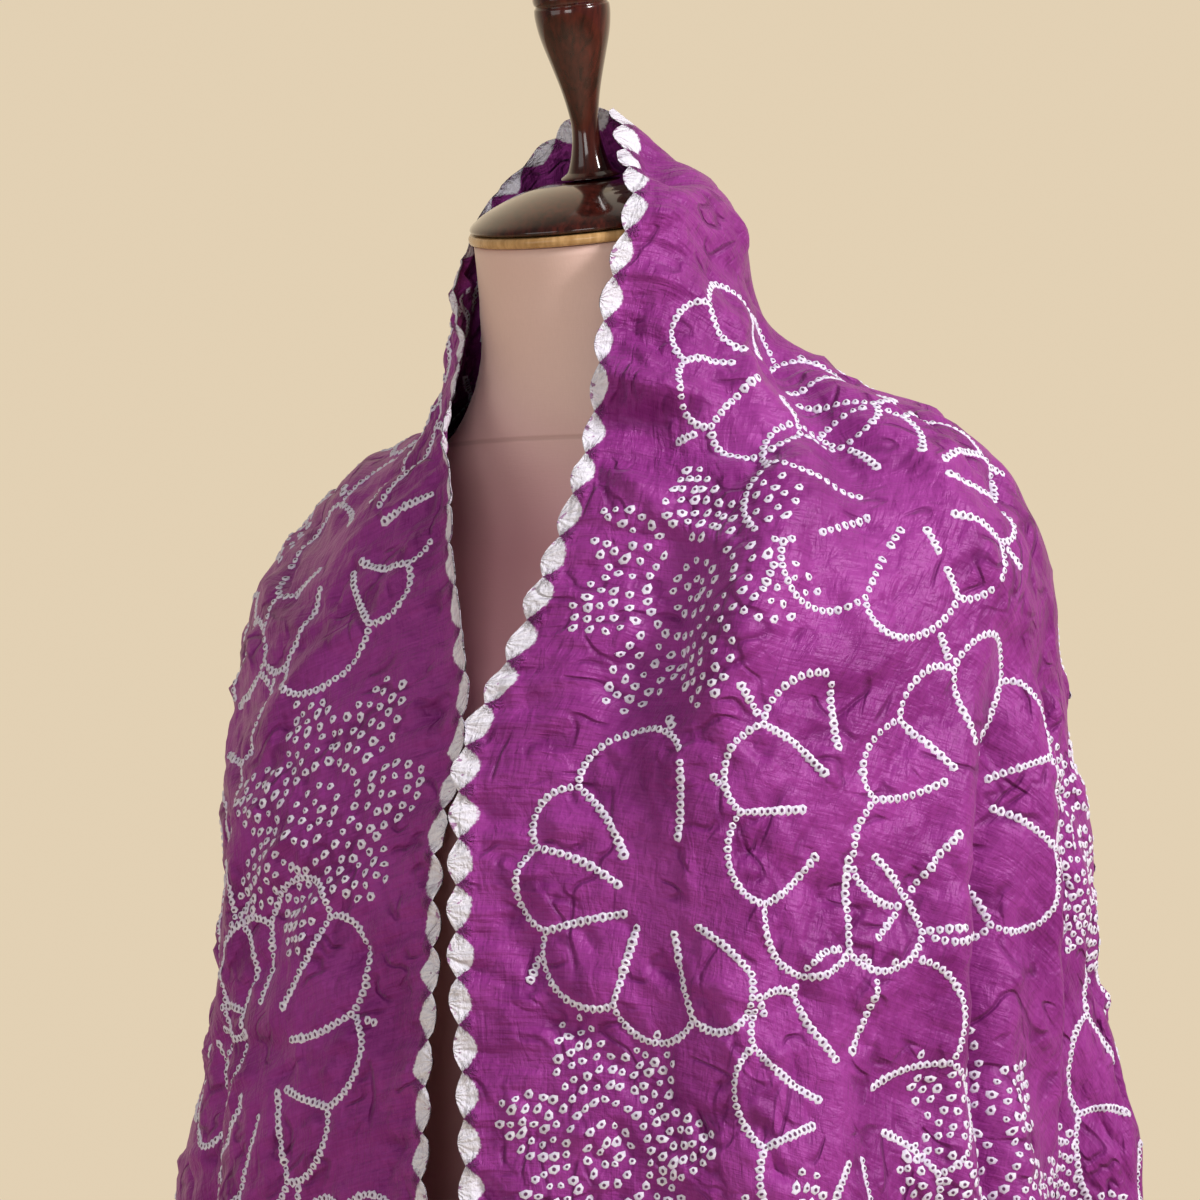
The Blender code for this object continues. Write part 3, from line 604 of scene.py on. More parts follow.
def drape_lines():
    """The nine lines that run away from the peak: left edge, chest, shoulder and blade, the spine,
    then the same on the right. Each is its reach knots and points."""
    # Below its own rows the right side mirrors the left.
    mirror = np.array((1, -1, 1, 1, -1, 1, 1, -1, 1, 1))
    right = np.concatenate([RIGHT_DRAPE, LEFT_DRAPE[len(RIGHT_DRAPE) :] * mirror])
    spine = np.insert(SPINE_DRAPE[:, 1:], 0, 0.0, axis=1)
    lines = [(stations(LEFT_EDGE), LEFT_EDGE)]
    lines += [(LEFT_DRAPE[:, 0], LEFT_DRAPE[:, first : first + 3]) for first in (1, 4, 7)]
    lines.append((SPINE_DRAPE[:, 0], spine))
    lines += [(right[:, 0], right[:, first : first + 3]) for first in (7, 4, 1)]
    return [*lines, (stations(RIGHT_EDGE), RIGHT_EDGE)]


def from_peak(along, across):
    """How far points of the flat cloth are from the peak, and in which direction in degrees."""
    return np.hypot(along, across), np.degrees(np.arctan2(across, along))


def lie(along, across):
    """Where points of the flat cloth lie over the shoulders, before the folds."""
    reach, turn = from_peak(along, across)
    knots = np.array([smooth(line_knots, points, reach) for line_knots, points in drape_lines()])
    pitch = 180.0 / (len(knots) - 1)
    slope = np.gradient(knots, axis=0)
    step = np.clip((turn / pitch).astype(int), 0, len(knots) - 2)
    t = (turn / pitch - step)[:, None]
    each = np.arange(len(along))
    return cubic(t, knots[step, each], knots[step + 1, each], slope[step, each], slope[step + 1, each])


def soft_step(x):
    """0 up to 0 and 1 from 1 on, with a smooth rise between."""
    x = np.clip(x, 0.0, 1.0)
    return x * x * (3.0 - 2.0 * x)


def window(x, first, rise, last, fall):
    """1 between two places, with a soft rise after the first and a soft fall before the last."""
    return soft_step((x - first) / rise) * soft_step((last - x) / fall)


def fold_height(along, across):
    """How far the folds lift the cloth from the body."""
    reach, turn = from_peak(along, across)
    lift = np.zeros(len(along))
    for side, angle, half_width, height, starts, full in FOLDS:
        middle = angle if side > 0 else 180.0 - angle
        grows = soft_step((reach - starts) / (full - starts))
        lift += height * grows * np.exp(-(((turn - middle) / half_width) ** 2))
    return lift


def outward(shape, along, across, step=NORMAL_STEP):
    """The outward direction of a shape of the cloth, from two short steps in the flat cloth."""
    one = shape(along + step, across) - shape(along - step, across)
    two = shape(along, across + step) - shape(along, np.maximum(across - step, 0.0))
    normal = np.cross(one, two)
    return normal / np.linalg.norm(normal, axis=1)[:, None]


def drape(along, across):
    """Where points of the flat cloth lie, folds and all."""
    places = lie(along, across)
    return places + outward(lie, along, across) * fold_height(along, across)[:, None]


def scallop_outline(along):
    """How far the edge draws in from the scallops' tips."""
    return SCALLOP_NOTCH * (1.0 - np.abs(np.sin(math.pi * along / SCALLOP)))


# The larger creases and soft swellings, listed one by one. Columns: along, across, heading in degrees
# from the neck edge, length, half width, height (- is a trough).
CREASES = metres((
    (46, 21, 27, 52, 11, -12.5), (400, 299, 22, 360, 14, -21), (385, 264, 22, 300, 12, 8),
    (345, 342, 38, 260, 16, 11), (137, 90, 13, 120, 10, 4.5), (152, 121, 13, 150, 11, -14),
    (160, 50, 92, 110, 11, 6), (190, 50, 88, 130, 11, -11.5), (268, 110, -7, 190, 17, 12),
    (282, 66, -7, 180, 17, -10), (88, 64, 60, 70, 18, -5), (200, 150, 60, 90, 10, -4.5),
    (218, 185, 48, 100, 11, 4), (158, 36, 83, 90, 4.2, -4.8), (169, 40, 86, 100, 4.8, 5),
    (181, 34, 92, 80, 4, -4.4), (118, 50, 88, 80, 6, 3.4), (137, 100, 35, 50, 4.4, -4.2),
    (148, 94, 20, 45, 4.4, 4), (330, 60, 60, 90, 12, 3), (430, 180, 25, 120, 14, -4),
    (500, 230, 22, 160, 14, 5), (-150, 110, 40, 110, 12, -5), (-180, 140, 30, 110, 11, 4.5),
    (-215, 150, 70, 90, 9, -4.5), (-250, 160, 66, 90, 10, 4), (-300, 140, 110, 120, 12, -4),
    (-380, 150, 155, 180, 14, 4), (-470, 190, 158, 180, 14, -5), (-110, 55, 84, 90, 10, 3),
    (60, 35, 80, 50, 4.5, 3.4), (90, 50, 96, 70, 5, -3.8), (118, 28, 86, 45, 4, 3.4),
    (150, 42, 74, 70, 5, -3.7), (176, 30, 92, 50, 4, 3.4), (205, 46, 84, 80, 5.5, -4.5),
    (228, 60, 62, 90, 6, 5.1), (262, 140, 40, 80, 5.5, -3.2), (170, 105, 30, 60, 5, -3.2),
    (186, 128, 55, 55, 4.5, 2.8), (150, 165, 20, 60, 5, -2.8), (240, 215, 70, 60, 5, 2.8),
    (300, 160, 105, 70, 5.5, -3.2), (330, 130, 60, 60, 4.5, 2.4), (372, 170, 80, 80, 6, -3.3),
    (405, 190, 50, 60, 5, 2.8), (352, 262, 115, 75, 5.5, -3), (430, 150, 100, 70, 5, 2.8),
    (460, 60, 84, 60, 4.5, -3.8), (520, 140, 72, 80, 6, 3.2), (-80, 45, 95, 60, 5, 3.7),
    (-125, 35, 84, 50, 4.5, -3.7), (-160, 52, 100, 70, 5, 3.8), (-205, 70, 76, 80, 5.5, -4.8),
    (-240, 60, 90, 70, 5, 4.2), (-262, 110, 60, 60, 5, -2.8), (-300, 90, 104, 80, 5.5, 2.8),
    (-338, 120, 82, 60, 4.5, -2.4), (-420, 80, 92, 70, 5, 3.8), (-470, 130, 70, 80, 5.5, -3),
), plain=(2,))
MAP_STEP, MAP_MARGIN = 0.002, 0.02


def between(grid, i, j, s, t):
    """A grid read between its places: `s` and `t` of the way on from row `i` and column `j`."""
    near = grid[i, j] * (1 - s) + grid[i + 1, j] * s
    far = grid[i, j + 1] * (1 - s) + grid[i + 1, j + 1] * s
    return near * (1 - t) + far * t


class Relief:
    """The fine height of the flat cloth, on a square map that creases and puckers are laid into."""

    def __init__(self):
        beyond = MAP_MARGIN + MAP_STEP / 2
        self.along = np.arange(-STOLE_LENGTH / 2 - MAP_MARGIN, STOLE_LENGTH / 2 + beyond, MAP_STEP)
        self.across = np.arange(-MAP_MARGIN, STOLE_WIDTH + beyond, MAP_STEP)
        self.height = np.zeros((len(self.along), len(self.across)))

    def lay(self, along, across, heading, length, half_width, height):
        """One soft ridge or trough: tapered at its ends, rounded across."""
        reach = length / 2 + 2 * half_width
        first = [int((c - reach - o) / MAP_STEP) for c, o in ((along, self.along[0]), (across, -MAP_MARGIN))]
        count = int(2 * reach / MAP_STEP) + 2
        rows = slice(max(first[0], 0), max(first[0] + count, 0))
        cells = slice(max(first[1], 0), max(first[1] + count, 0))
        x, y = np.meshgrid(self.along[rows] - along, self.across[cells] - across, indexing="ij")
        turn = math.radians(heading)
        down = x * math.cos(turn) + y * math.sin(turn)
        over = y * math.cos(turn) - x * math.sin(turn)
        bow = min(0.12 * length, 0.006) * (2 * down / length) ** 2
        taper = np.clip(1.0 - (2 * down / length) ** 2, 0.0, 1.0)
        self.height[rows, cells] += height * taper * np.exp(-(((over - bow) / half_width) ** 2))

    def at(self, along, across):
        """The height at places of the flat cloth."""
        place = (along - self.along[0]) / MAP_STEP, (across - self.across[0]) / MAP_STEP
        i, j = (np.clip(p.astype(int), 0, n - 2) for p, n in zip(place, self.height.shape))
        return between(self.height, i, j, place[0] - i, place[1] - j)


def crinkled():
    """The cloth's relief: the creases listed above, then broad soft swellings, the crinkle left by the
    untied knots and sharp nips scattered over the field, a low line under each row of ties with
    gathers beside it, and gathers and knots along both long edges."""
    relief = Relief()
    for crease in CREASES:
        relief.lay(*crease)
    rng = np.random.default_rng(41)
    half = STOLE_LENGTH / 2
    # Columns: count, longest and shortest, half widths, heights, how far the heading strays.
    for count, lengths, widths, heights, stray in (
        (560, (0.040, 0.100), (0.008, 0.016), (0.0014, 0.0042), 38.0),
        (3000, (0.016, 0.050), (0.0030, 0.0055), (0.0005, 0.0014), 38.0),
        (700, (0.016, 0.038), (0.0028, 0.0042), (0.0022, 0.0048), 55.0),
    ):
        for _ in range(count):
            along = rng.uniform(-half, half)
            across = rng.uniform(0.012, STOLE_WIDTH - 0.012)
            height = rng.choice((-1.0, 0.8)) * rng.uniform(*heights)
            heading = rng.normal(90.0, stray)
            relief.lay(along, across, heading, rng.uniform(*lengths), rng.uniform(*widths), height)
    # Each row of ties lies low, and the cloth beside it gathers square to it.
    for (along, across), heading, size in zip(*tied[:3]):
        row = math.degrees(heading)
        relief.lay(along, across, row, 0.008, 0.0048, -0.00045)
        if size > 0.93 and rng.random() < 0.45:
            side = rng.choice((-1.0, 1.0)) * rng.uniform(0.004, 0.009)
            beside = along - side * math.sin(heading), across + side * math.cos(heading)
            height = rng.choice((-1.0, 0.7)) * rng.uniform(0.0009, 0.0024)
            relief.lay(*beside, row + rng.normal(90.0, 14.0), rng.uniform(0.010, 0.020), 0.0026, height)
    for edge, inward in ((0.0, 1.0), (STOLE_WIDTH, -1.0)):
        along = -half
        while along < half:
            along += rng.uniform(0.0040, 0.0085)
            length = rng.uniform(0.030, 0.085)
            height = rng.choice((-1.0, 1.0)) * rng.uniform(0.0006, 0.0021)
            heading, half_width = rng.normal(90.0, 9.0), rng.uniform(0.0023, 0.0038)
            relief.lay(along, edge + inward * length * 0.38, heading, length, half_width, height)
        for number in range(-SCALLOPS // 2, SCALLOPS // 2 + 1):
            knot = number * SCALLOP
            relief.lay(knot, edge + inward * 0.0085, 90.0, 0.012, 0.0026, rng.uniform(0.0008, 0.0018))
            swell = rng.uniform(-0.0010, 0.0016)
            relief.lay(knot + SCALLOP / 2, edge + inward * 0.006, 90.0, 0.020, 0.0050, swell)
    return relief


relief = crinkled()

# How far an edge curls forward, leans in or lies over the other, and how far each front reaches to
# the other where they meet, the right one a little more where it meets first.
EDGE_CURL, EDGE_LEAN, OVERLAP = 0.0125, 0.0030, 0.0030
RIGHT_REACH, RIGHT_FIRST, LEFT_REACH = 0.0048, 0.0036, 0.0050


def silk_place(along, across):
    """Where the middle of the silk lies, with its fine relief."""
    lift = relief.at(along, across)
    # Near the peak the cloth is stretched smooth over the cap.
    lift *= soft_step((np.hypot(along, across) - 0.012) / 0.045)
    # Down the right front the edge curls forward, so that its border turns to the wearer's right,
    # and above that it leans in to the neck.
    beside_edge = np.clip(1.0 - across / 0.024, 0.0, 1.0) ** 2
    lift += EDGE_CURL * beside_edge * window(-along, 0.19, 0.035, 0.41, 0.10)
    lift -= EDGE_LEAN * beside_edge * window(-along, 0.07, 0.04, 0.20, 0.03)
    # Where the fronts meet, the left one lies a little over the right one.
    border = soft_step((0.095 - across) / 0.08)
    left_meets = border * window(along, 0.27, 0.07, 0.52, 0.10)
    lift += OVERLAP * beside_edge * left_meets
    places = drape(along, across) + outward(drape, along, across) * lift[:, None]
    places[:, 0] -= LEFT_REACH * left_meets
    places[:, 0] += RIGHT_REACH * border * window(-along, 0.31, 0.04, 0.56, 0.10)
    places[:, 0] += RIGHT_FIRST * border * window(-along, 0.28, 0.04, 0.385, 0.03)
    return places


ROWS_AT_EDGE = (0.0, 0.0015, 0.0040, 0.0070, 0.0105, 0.0140, 0.0175, BORDER_DEPTH)
COLUMNS_A_SCALLOP = 6
ROW_STEP = 0.0034


class Stretch:
    """A stretch of the silk as a fine grid: its flat places, where they lie, and its outward side."""

    def __init__(self, first, last):
        # One column more on either side gives neighbouring stretches the same shading.
        columns = np.arange(first * COLUMNS_A_SCALLOP - 1, last * COLUMNS_A_SCALLOP + 2)
        wide = columns * SCALLOP / COLUMNS_A_SCALLOP
        body = STOLE_WIDTH - 2 * BORDER_DEPTH
        inner = BORDER_DEPTH + np.linspace(0.0, body, round(body / ROW_STEP) + 1)
        near = np.array(ROWS_AT_EDGE)
        self.rows = np.concatenate([near[:-1], inner, STOLE_WIDTH - near[-2::-1]])
        along, row = np.meshgrid(wide, self.rows, indexing="ij")
        to_edge = np.minimum(row, STOLE_WIDTH - row)
        drawn_in = scallop_outline(along) * np.clip(1.0 - to_edge / BORDER_DEPTH, 0.0, 1.0)
        across = row + np.where(row < STOLE_WIDTH / 2, drawn_in, -drawn_in)
        points = silk_place(along.ravel(), across.ravel()).reshape(*along.shape, 3)
        normal = outward(silk_place, along.ravel(), across.ravel(), FINE_STEP).reshape(*along.shape, 3)
        self.along, self.points, self.normal = wide[1:-1], points[1:-1], normal[1:-1]
        self.flat = np.stack([along[1:-1].ravel(), across[1:-1].ravel()], axis=1)
        self.shape = self.normal.shape[:2]

    def read(self, grid, along, across):
        """A grid of this stretch read between its places."""
        column = (along - self.along[0]) / (self.along[1] - self.along[0])
        i = np.clip(column.astype(int), 0, self.shape[0] - 2)
        j = np.clip(np.searchsorted(self.rows, across, side="right") - 1, 0, self.shape[1] - 2)
        s = (column - i)[:, None]
        t = ((across - self.rows[j]) / (self.rows[j + 1] - self.rows[j]))[:, None]
        return between(grid, i, j, s, t)

    def shell(self):
        """The silk as a closed wall: points, faces and flat places."""
        columns, rows = self.shape
        count = columns * rows
        lift = self.normal * SILK_THICKNESS / 2
        points = np.concatenate([(self.points + lift).reshape(-1, 3), (self.points - lift).reshape(-1, 3)])
        corner = np.arange(count).reshape(columns, rows)
        a, b, c, d = corner[:-1, :-1], corner[1:, :-1], corner[1:, 1:], corner[:-1, 1:]
        faces = np.stack([a, b, c, d], axis=2).reshape(-1, 4)
        edge = np.concatenate([corner[:, 0], corner[-1, 1:], corner[-2::-1, -1], corner[0, -2:0:-1]])
        nxt = np.roll(edge, -1)
        rim = np.stack([nxt, edge, edge + count, nxt + count], axis=1)
        faces = np.concatenate([faces, faces[:, ::-1] + count, rim])
        return points, faces.tolist(), np.concatenate([self.flat, self.flat])


def dyed_silk():
    """Crinkled silk in deep magenta-purple: uneven dye, fine plain weave, and a resist-white border
    of one lens to a scallop, with a dyed knot in each notch."""
    constants = {"Sheen Weight": 0.18, "Sheen Roughness": 0.4, "Sheen Tint": (0.85, 0.38, 0.80, 1.0)}
    constants.update({"IOR": 1.45, "Specular Tint": (0.90, 0.42, 0.85, 1.0)})
    material, here = surface("bandhani_silk", constants)
    place = here.node("UVMap", "UV", {}, uv_map="cloth")
    along = place.node("SeparateXYZ", "X", {0: place})
    across = place.node("SeparateXYZ", "Y", {0: place})
    # The border: how far a place is from the nearer long edge, against the lens of its scallop.
    to_edge = (across - STOLE_WIDTH / 2).maths("ABSOLUTE") * -1.0 + STOLE_WIDTH / 2
    swell = (along * (math.pi / SCALLOP)).maths("SINE").maths("ABSOLUTE")
    bleed = place.noise(700.0, 3.0) - 0.5
    uneven = place.scaled(1.0, 0.0, 0.0).noise(43.0, 1.0) * 0.0085 + 0.0042
    lens = swell.maths("POWER", 0.9) * uneven + 0.0048 + bleed * 0.0036
    white = (lens - to_edge).ramp(-0.0007, 0.0010)
    # The dyed knot just inside each notch, and specks of dye on the very edge.
    knot = (to_edge - 0.0100).maths("ABSOLUTE") * 260.0 + swell * 3.2 + bleed * 1.4
    speck = (place.scaled(1.0, 0.6, 1.0).noise(330.0, 2.0) - to_edge * 22.0).ramp(0.52, 0.60)
    white = white * knot.ramp(0.75, 1.15) * (speck * -0.75 + 1.0)
    # Dye: broad uneven takes, streaks along both threads, and a fine uneven mottle.
    broad = place.noise(14.0, 3.0, 0.6)
    warp = place.scaled(1.0, 0.04, 1.0).noise(1100.0, 2.0)
    weft = place.scaled(0.04, 1.0, 1.0).noise(1100.0, 2.0)
    fine_mottle = place.noise(130.0, 4.0, 1.2)
    dye = broad * 0.53 + (warp + weft * 0.6) * 0.25 + fine_mottle * 0.30
    purple = dye.ramp(0.36, 0.80).blend((0.165, 0.0110, 0.138), (0.335, 0.044, 0.295))
    # Sharp creases, each short because only patches of the cloth have them, with painted shade in their
    # bottoms.
    folded = place.scaled(1.0, 0.6, 1.0).noise(58.0, 1.0, 0.3) - 0.5
    folded = folded.maths("ABSOLUTE").ramp(0.0, 0.060, 1.0, 0.0) * place.noise(31.0, 1.0).ramp(0.50, 0.62)
    crossed = place.scaled(0.55, 1.0, 1.0).noise(47.0, 1.0, 0.4) - 0.5
    crossed = crossed.maths("ABSOLUTE").ramp(0.0, 0.056, 1.0, 0.0) * place.noise(24.0, 1.0).ramp(0.54, 0.64)
    sharp = folded + crossed
    # Painted shade: the colour is darkened along the crease lines, in place of their shadow.
    purple = (sharp * 0.55).blend(purple, (0.120, 0.0075, 0.100))
    # Pleats that fan inward from each scallop's tip, over the white and a little beyond it.
    fan = (((along * (1.0 / SCALLOP)).maths("FRACT") - 0.5) * SCALLOP).maths("ARCTAN2", to_edge + 0.0015)
    pleats = (fan * 17.0 + bleed * 5.0 + broad * 9.0).maths("SINE") * to_edge.ramp(0.009, 0.017, 1.0, 0.0)
    # Painted light and shade: the white is lighter and darker along the pleats, and its tone also varies
    # along the warp.
    chalk = (pleats * 0.16 + warp * 0.4 + 0.4).ramp(0.1, 0.7).blend((0.66, 0.64, 0.74), (0.86, 0.85, 0.94))
    colour = white.blend(purple, chalk)
    # Fine crinkle that the folds of the mesh don't carry.
    crinkle = place.scaled(1.0, 0.45, 1.0).noise(230.0, 3.0, 0.8)
    cross = place.scaled(0.5, 1.0, 1.0).noise(120.0, 3.0, 1.6)
    gather = place.scaled(1.0, 0.1, 1.0).noise(300.0, 2.0, 0.3) * to_edge.ramp(0.02, 0.10, 1.0, 0.25)
    # Each notch is drawn in round a knot, with short creases that run out from it.
    sideways, inward = swell * (SCALLOP / math.pi), to_edge - 0.0085
    from_knot = (sideways * sideways + inward * inward).maths("SQRT")
    spokes = (sideways.maths("ARCTAN2", inward) * 6.0 + bleed * 9.0).maths("SINE") * 0.5 + 0.6
    drawn_up = from_knot.ramp(0.0006, 0.0058, 1.0, 0.0) * spokes
    height = crinkle * 0.6 + cross + gather * 1.15 + pleats * 0.14 + (warp + weft) * 0.16
    height = height + drawn_up * 1.6 - sharp * 0.9
    drive(material, colour, fine_mottle * 0.22 + 0.34 + white * 0.2, height, 0.0014)
    return material


silk = dyed_silk()
half, end = MIDDLE_SCALLOPS // 2, SCALLOPS // 2
spans = {"stole_right_end": (-end, -half), "stole_middle": (-half, half), "stole_left_end": (half, end)}
stretches = {name: Stretch(*span) for name, span in spans.items()}
cloths = {}
for name, stretch in stretches.items():
    points, faces, flat = stretch.shell()
    cloth = finished(name.replace("stole", "silk"), points, faces, silk, "silk", name, flat)
    side = stretch.normal.reshape(-1, 3)
    cloth.data.normals_split_custom_set_from_vertices(np.concatenate([side, -side]).tolist())
    cloths[name] = cloth

# ---- Stole: the ties ----
# Where the cloth was pinched up and bound before dyeing, each tie leaves a small raised white ring
# with a dyed point in it, on both faces of the silk.


def tie_template(name, sides, raised):
    """One tie: a soft ring, a little square, round a dyed point that lies across its row, drawn for
    Geometry Nodes to repeat. `from_middle` is 0 at the point and 1 at the rim."""
    turn = np.linspace(0.0, 2 * math.pi, sides, endpoint=False) + 0.35
    rim = np.where(np.arange(sides) % 2 == 0, 1.08, 0.93)
    outer = np.stack([rim * np.cos(turn), rim * np.sin(turn), np.full(sides, -0.16)], axis=1)
    inner = np.stack([0.44 * np.cos(turn), 0.62 * np.sin(turn), np.full(sides, raised)], axis=1)
    points = np.concatenate([outer, inner, [(0.0, 0.0, -0.02)]])
    faces = []
    for side in range(sides):
        nxt = (side + 1) % sides
        faces.append((side, nxt, sides + nxt, sides + side))
        faces.append((sides + side, sides + nxt, 2 * sides))
    mesh = bpy.data.meshes.new(name)
    mesh.from_pydata(points.tolist(), [], faces)
    spread = mesh.attributes.new("from_middle", "FLOAT", "POINT")
    spread.data.foreach_set("value", [1.0] * sides + [0.62] * sides + [0.0])
    mesh.shade_smooth()
    return bpy.data.objects.new(name, mesh)


def tie_material():
    """Undyed silk with the dyed point in its middle, and a rim stained by the dye round it."""
    material, here = surface("resist_white_tie", {"Sheen Weight": 0.15, "IOR": 1.45})
    spread = here.node("Attribute", "Fac", {}, attribute_name="from_middle")
    stain = here.noise(420.0, 2.0)
    white = stain.ramp(0.3, 0.7).blend((0.86, 0.84, 0.94), (0.69, 0.63, 0.80))
    white = spread.ramp(0.84, 1.0).blend(white, (0.70, 0.52, 0.78))
    colour = (spread + (stain - 0.5) * 0.5).ramp(0.30, 0.54).blend((0.115, 0.014, 0.105), white)
    drive(material, colour, stain * 0.2 + 0.5, stain, 0.0003)
    return material


def repeat_tree(tie, material):
    """Geometry Nodes: the tie on every point, stood on the cloth, with small seeded differences."""
    tree = bpy.data.node_groups.new("repeat_ties", "GeometryNodeTree")
    for name, kind in (("Points", "Geometry"), ("Size", "Float"), ("Unevenness", "Float")):
        tree.interface.new_socket(name, in_out="INPUT", socket_type="NodeSocket" + kind)
    tree.interface.new_socket("Ties", in_out="OUTPUT", socket_type="NodeSocketGeometry")

    def add(kind, inputs, output=0, **settings):
        made = tree.nodes.new(kind)
        for setting, value in settings.items():
            setattr(made, setting, value)
        for name, value in inputs.items():
            if isinstance(value, bpy.types.NodeSocket):
                tree.links.new(value, made.inputs[name])
            else:
                made.inputs[name].default_value = value
        return made.outputs[output]

    def named(name, kind="FLOAT_VECTOR"):
        return add("GeometryNodeInputNamedAttribute", {"Name": name}, "Attribute", data_type=kind)

    given = tree.nodes.new("NodeGroupInput").outputs
    align = "FunctionNodeAlignRotationToVector"
    up = add(align, {"Vector": named("facing")}, axis="Z")
    stood = add(align, {"Rotation": up, "Vector": named("heading")}, axis="X", pivot_axis="Z")
    low = add("ShaderNodeMath", {0: 1.0, 1: given["Unevenness"]}, operation="SUBTRACT")
    high = add("ShaderNodeMath", {0: 1.0, 1: given["Unevenness"]}, operation="ADD")
    lows = add("ShaderNodeCombineXYZ", {0: low, 1: low, 2: 1.0})
    highs = add("ShaderNodeCombineXYZ", {0: high, 1: high, 2: 1.0})
    uneven = add("FunctionNodeRandomValue", {0: lows, 1: highs, "Seed": 5}, data_type="FLOAT_VECTOR")
    longer = add("ShaderNodeCombineXYZ", {0: named("drawn", "FLOAT"), 1: 1.0, 2: 1.0})
    scale = add("ShaderNodeVectorMath", {0: uneven, 1: longer}, operation="MULTIPLY")
    for factor in (named("size", "FLOAT"), given["Size"]):
        scale = add("ShaderNodeVectorMath", {0: scale, "Scale": factor}, operation="SCALE")
    source = add("GeometryNodeObjectInfo", {"Object": tie}, "Geometry")
    inputs = {"Points": given["Points"], "Instance": source, "Rotation": stood, "Scale": scale}
    placed = add("GeometryNodeInstanceOnPoints", inputs)
    real = add("GeometryNodeRealizeInstances", {"Geometry": placed})
    last = add("GeometryNodeSetMaterial", {"Geometry": real, "Material": material})
    tree.links.new(last, tree.nodes.new("NodeGroupOutput").inputs[0])
    return tree


TIE_RADIUS = 0.00205
TIE_UNEVENNESS = 0.14
TIE_LIFT = 0.0003
HEADING_STEP = 0.002
CLEAR_OF_CUT = 0.0020


def ties_on(name, stretch, side, tree, places, headings, sizes, drawn):
    """The ties of one stretch and one face of the cloth, as one plain mesh."""
    first, last = stretch.along[0] + CLEAR_OF_CUT, stretch.along[-1] - CLEAR_OF_CUT
    here = (places[:, 0] > first) & (places[:, 0] < last)
    flat, heading = places[here], headings[here]
    points = stretch.read(stretch.points, *flat.T)
    facing = stretch.read(stretch.normal, *flat.T) * side
    facing /= np.linalg.norm(facing, axis=1)[:, None]
    ahead = stretch.read(stretch.points, *(flat + HEADING_STEP * polar(heading)).T)
    mesh = bpy.data.meshes.new(name)
    mesh.from_pydata((points + facing * (SILK_THICKNESS / 2 + TIE_LIFT)).tolist(), [], [])
    for label, values in (("facing", facing), ("heading", ahead - points)):
        mesh.attributes.new(label, "FLOAT_VECTOR", "POINT").data.foreach_set("vector", values.ravel())
    for label, values in (("size", sizes), ("drawn", drawn)):
        mesh.attributes.new(label, "FLOAT", "POINT").data.foreach_set("value", values[here])
    spots = shown(name + "_spots", mesh)
    repeat = spots.modifiers.new("repeat", "NODES")
    repeat.node_group = tree
    given = {"Size": TIE_RADIUS, "Unevenness": TIE_UNEVENNESS}
    for item in tree.interface.items_tree:
        if item.name in given:
            repeat[item.identifier] = given[item.name]
    graph = bpy.context.evaluated_depsgraph_get()
    graph.update()
    repeated = bpy.data.meshes.new_from_object(spots.evaluated_get(graph))
    spots.modifiers.clear()
    bpy.data.objects.remove(spots)
    repeated.name = name
    made = shown(name, repeated)
    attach(made, "root")
    return made


white_tie = tie_material()
# Columns: face of the cloth, its side, sides of a tie and how far its ring is raised.
TIED_FACES = (("outer", 1.0, 6, 0.24), ("inner", -1.0, 4, 0.20))
templates = [tie_template(face + "_tie", sides, raised) for face, _, sides, raised in TIED_FACES]
trees = [repeat_tree(template, white_tie) for template in templates]
ties = {name: [] for name in stretches}
for name, stretch in stretches.items():
    for (face, side, *_), tree in zip(TIED_FACES, trees):
        label = name.replace("stole", "ties") + "_" + face
        ties[name].append(ties_on(label, stretch, side, tree, *tied))
for tree in trees:
    bpy.data.node_groups.remove(tree)
for template in templates:
    bpy.data.objects.remove(template)

# ---- Stole: each stretch's flat size ----
# Each stretch's share of the flat rectangle, which was cut as one, is worked out here and not used.

for name, cloth in cloths.items():
    first, last = spans[name]
    flat = (STOLE_WIDTH, (last - first) * SCALLOP)

# ---- Floor, light and camera ----
# A plain pale floor under soft studio light, seen from the form's front left at chest height.


def pale_floor():
    """A wide plain floor, matt and faintly mottled."""
    mesh = bpy.data.meshes.new("studio_floor")
    mesh.from_pydata([(-6, -6, 0), (6, -6, 0), (6, 6, 0), (-6, 6, 0)], [], [(0, 1, 2, 3)])
    material, here = surface("pale_floor", {})
    colour = here.noise(1.5, 2.0).blend((0.72, 0.62, 0.46), (0.76, 0.66, 0.50))
    drive(material, colour, here.noise(3.0) * 0.1 + 0.7, here.noise(200.0), 0.0001)
    mesh.materials.append(material)
    shown("studio_floor", mesh)


pale_floor()

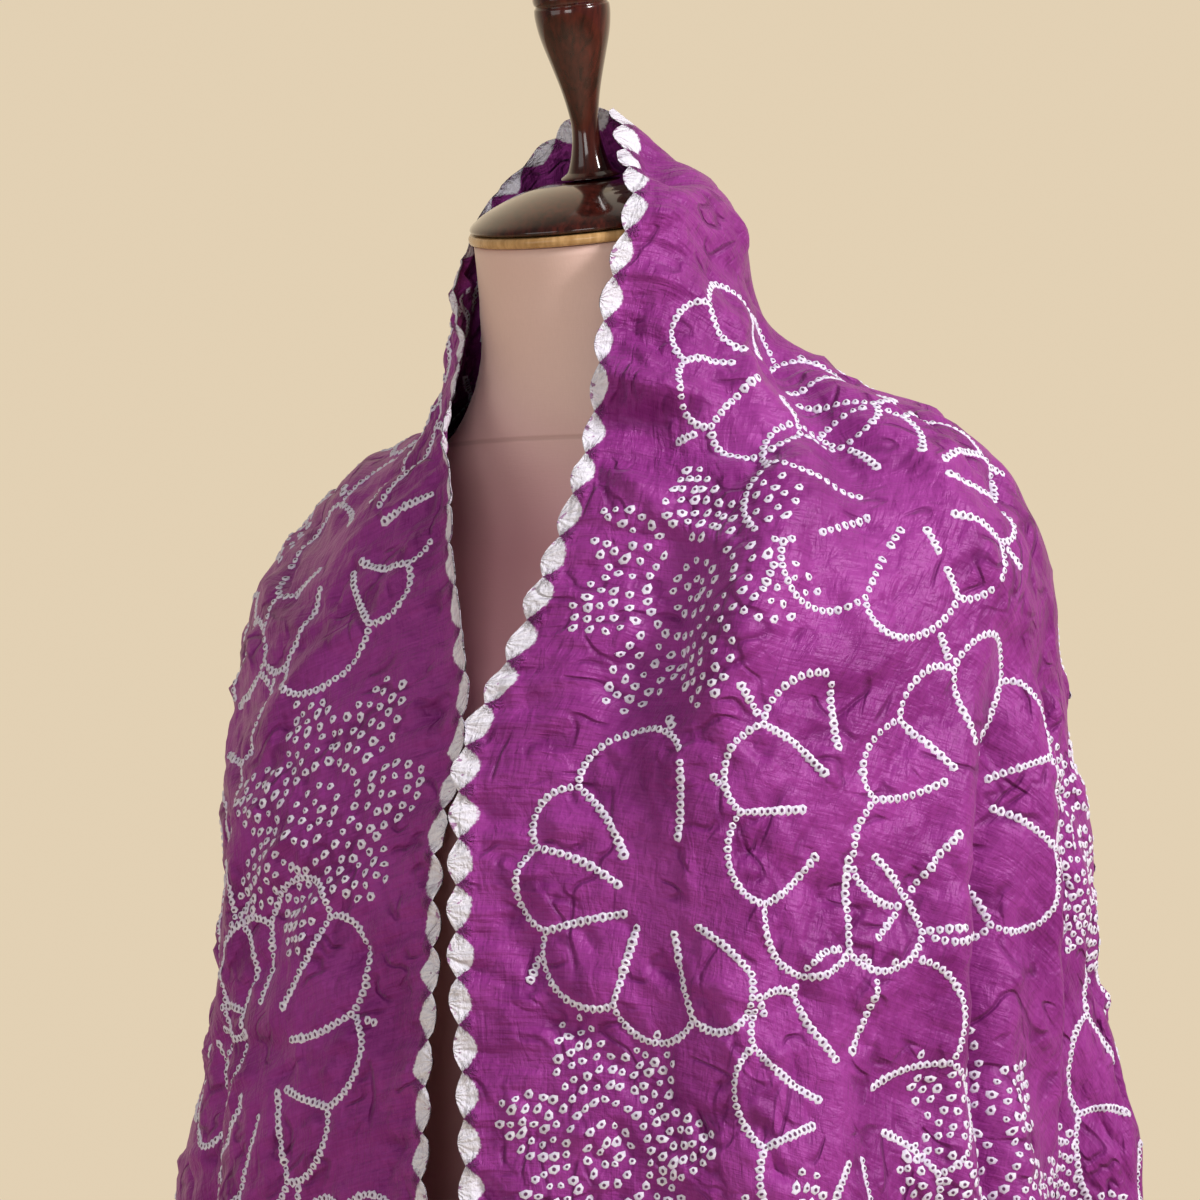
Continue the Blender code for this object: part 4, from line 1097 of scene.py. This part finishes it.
AZIMUTH, ELEVATION, DISTANCE = math.radians(30.0), math.radians(-2.0), 2.6
AIM_HEIGHT, AIM_ASIDE = 1.288, -0.016
PICTURE_WIDTH = 0.546
SENSOR_MM = 36.0
right = np.array([math.cos(AZIMUTH), math.sin(AZIMUTH), 0.0])
ahead = np.array(
    [-math.sin(AZIMUTH) * math.cos(ELEVATION), math.cos(AZIMUTH) * math.cos(ELEVATION), -math.sin(ELEVATION)]
)
above = np.cross(right, ahead)
aim = np.array([0.0, 0.0, AIM_HEIGHT]) + right * AIM_ASIDE
camera = bpy.data.cameras.new("camera")
camera.sensor_fit = "HORIZONTAL"
camera.sensor_width = SENSOR_MM
camera.lens = SENSOR_MM * DISTANCE / PICTURE_WIDTH
eye = shown("camera", camera)
eye.location = aim - ahead * DISTANCE
turned_to = np.stack([right, above, -ahead], axis=1)
eye.rotation_euler = mathutils.Matrix(turned_to.tolist()).to_euler()
bpy.context.scene.camera = eye

# Columns: name, to the right of the aim, towards the camera, above, width, height, power.
LAMPS = (
    ("key", 1.65, 1.25, 1.25, 0.5, 0.6, 57.0),
    ("front", -0.6, 2.7, 0.25, 0.9, 0.9, 13.0),
    ("fill", -1.5, 1.2, 0.3, 1.0, 1.0, 5.0),
    ("top", 0.3, -0.5, 1.7, 1.2, 1.0, 1.0),
)
for name, to_right, nearer, higher, width, height, power in LAMPS:
    lamp = bpy.data.lights.new(name, "AREA")
    lamp.shape = "RECTANGLE"
    lamp.size, lamp.size_y = width, height
    lamp.energy = power
    lamp.color = (1.0, 0.985, 0.97)
    made = shown(name, lamp)
    place = mathutils.Vector(aim + right * to_right - ahead * nearer + np.array([0, 0, higher]))
    made.location = place
    made.rotation_euler = (mathutils.Vector(aim) - place).to_track_quat("-Z", "Y").to_euler()

# The studio is bright beige behind the form and dimmer on the camera's side.
world = bpy.data.worlds.new("studio")
world.use_nodes = True
towards = Shade(world.node_tree, world.node_tree.nodes.new("ShaderNodeTexCoord").outputs["Generated"])
facing = towards.node("VectorMath", "Value", {0: towards, 1: tuple(ahead)}, operation="DOT_PRODUCT")
studio = facing.ramp(-0.1, 0.75).blend((0.18, 0.168, 0.152), (0.765, 0.635, 0.455))
world.node_tree.links.new(studio.socket, world.node_tree.nodes["Background"].inputs["Color"])
bpy.context.scene.world = world
bpy.context.scene.view_settings.view_transform = "Standard"
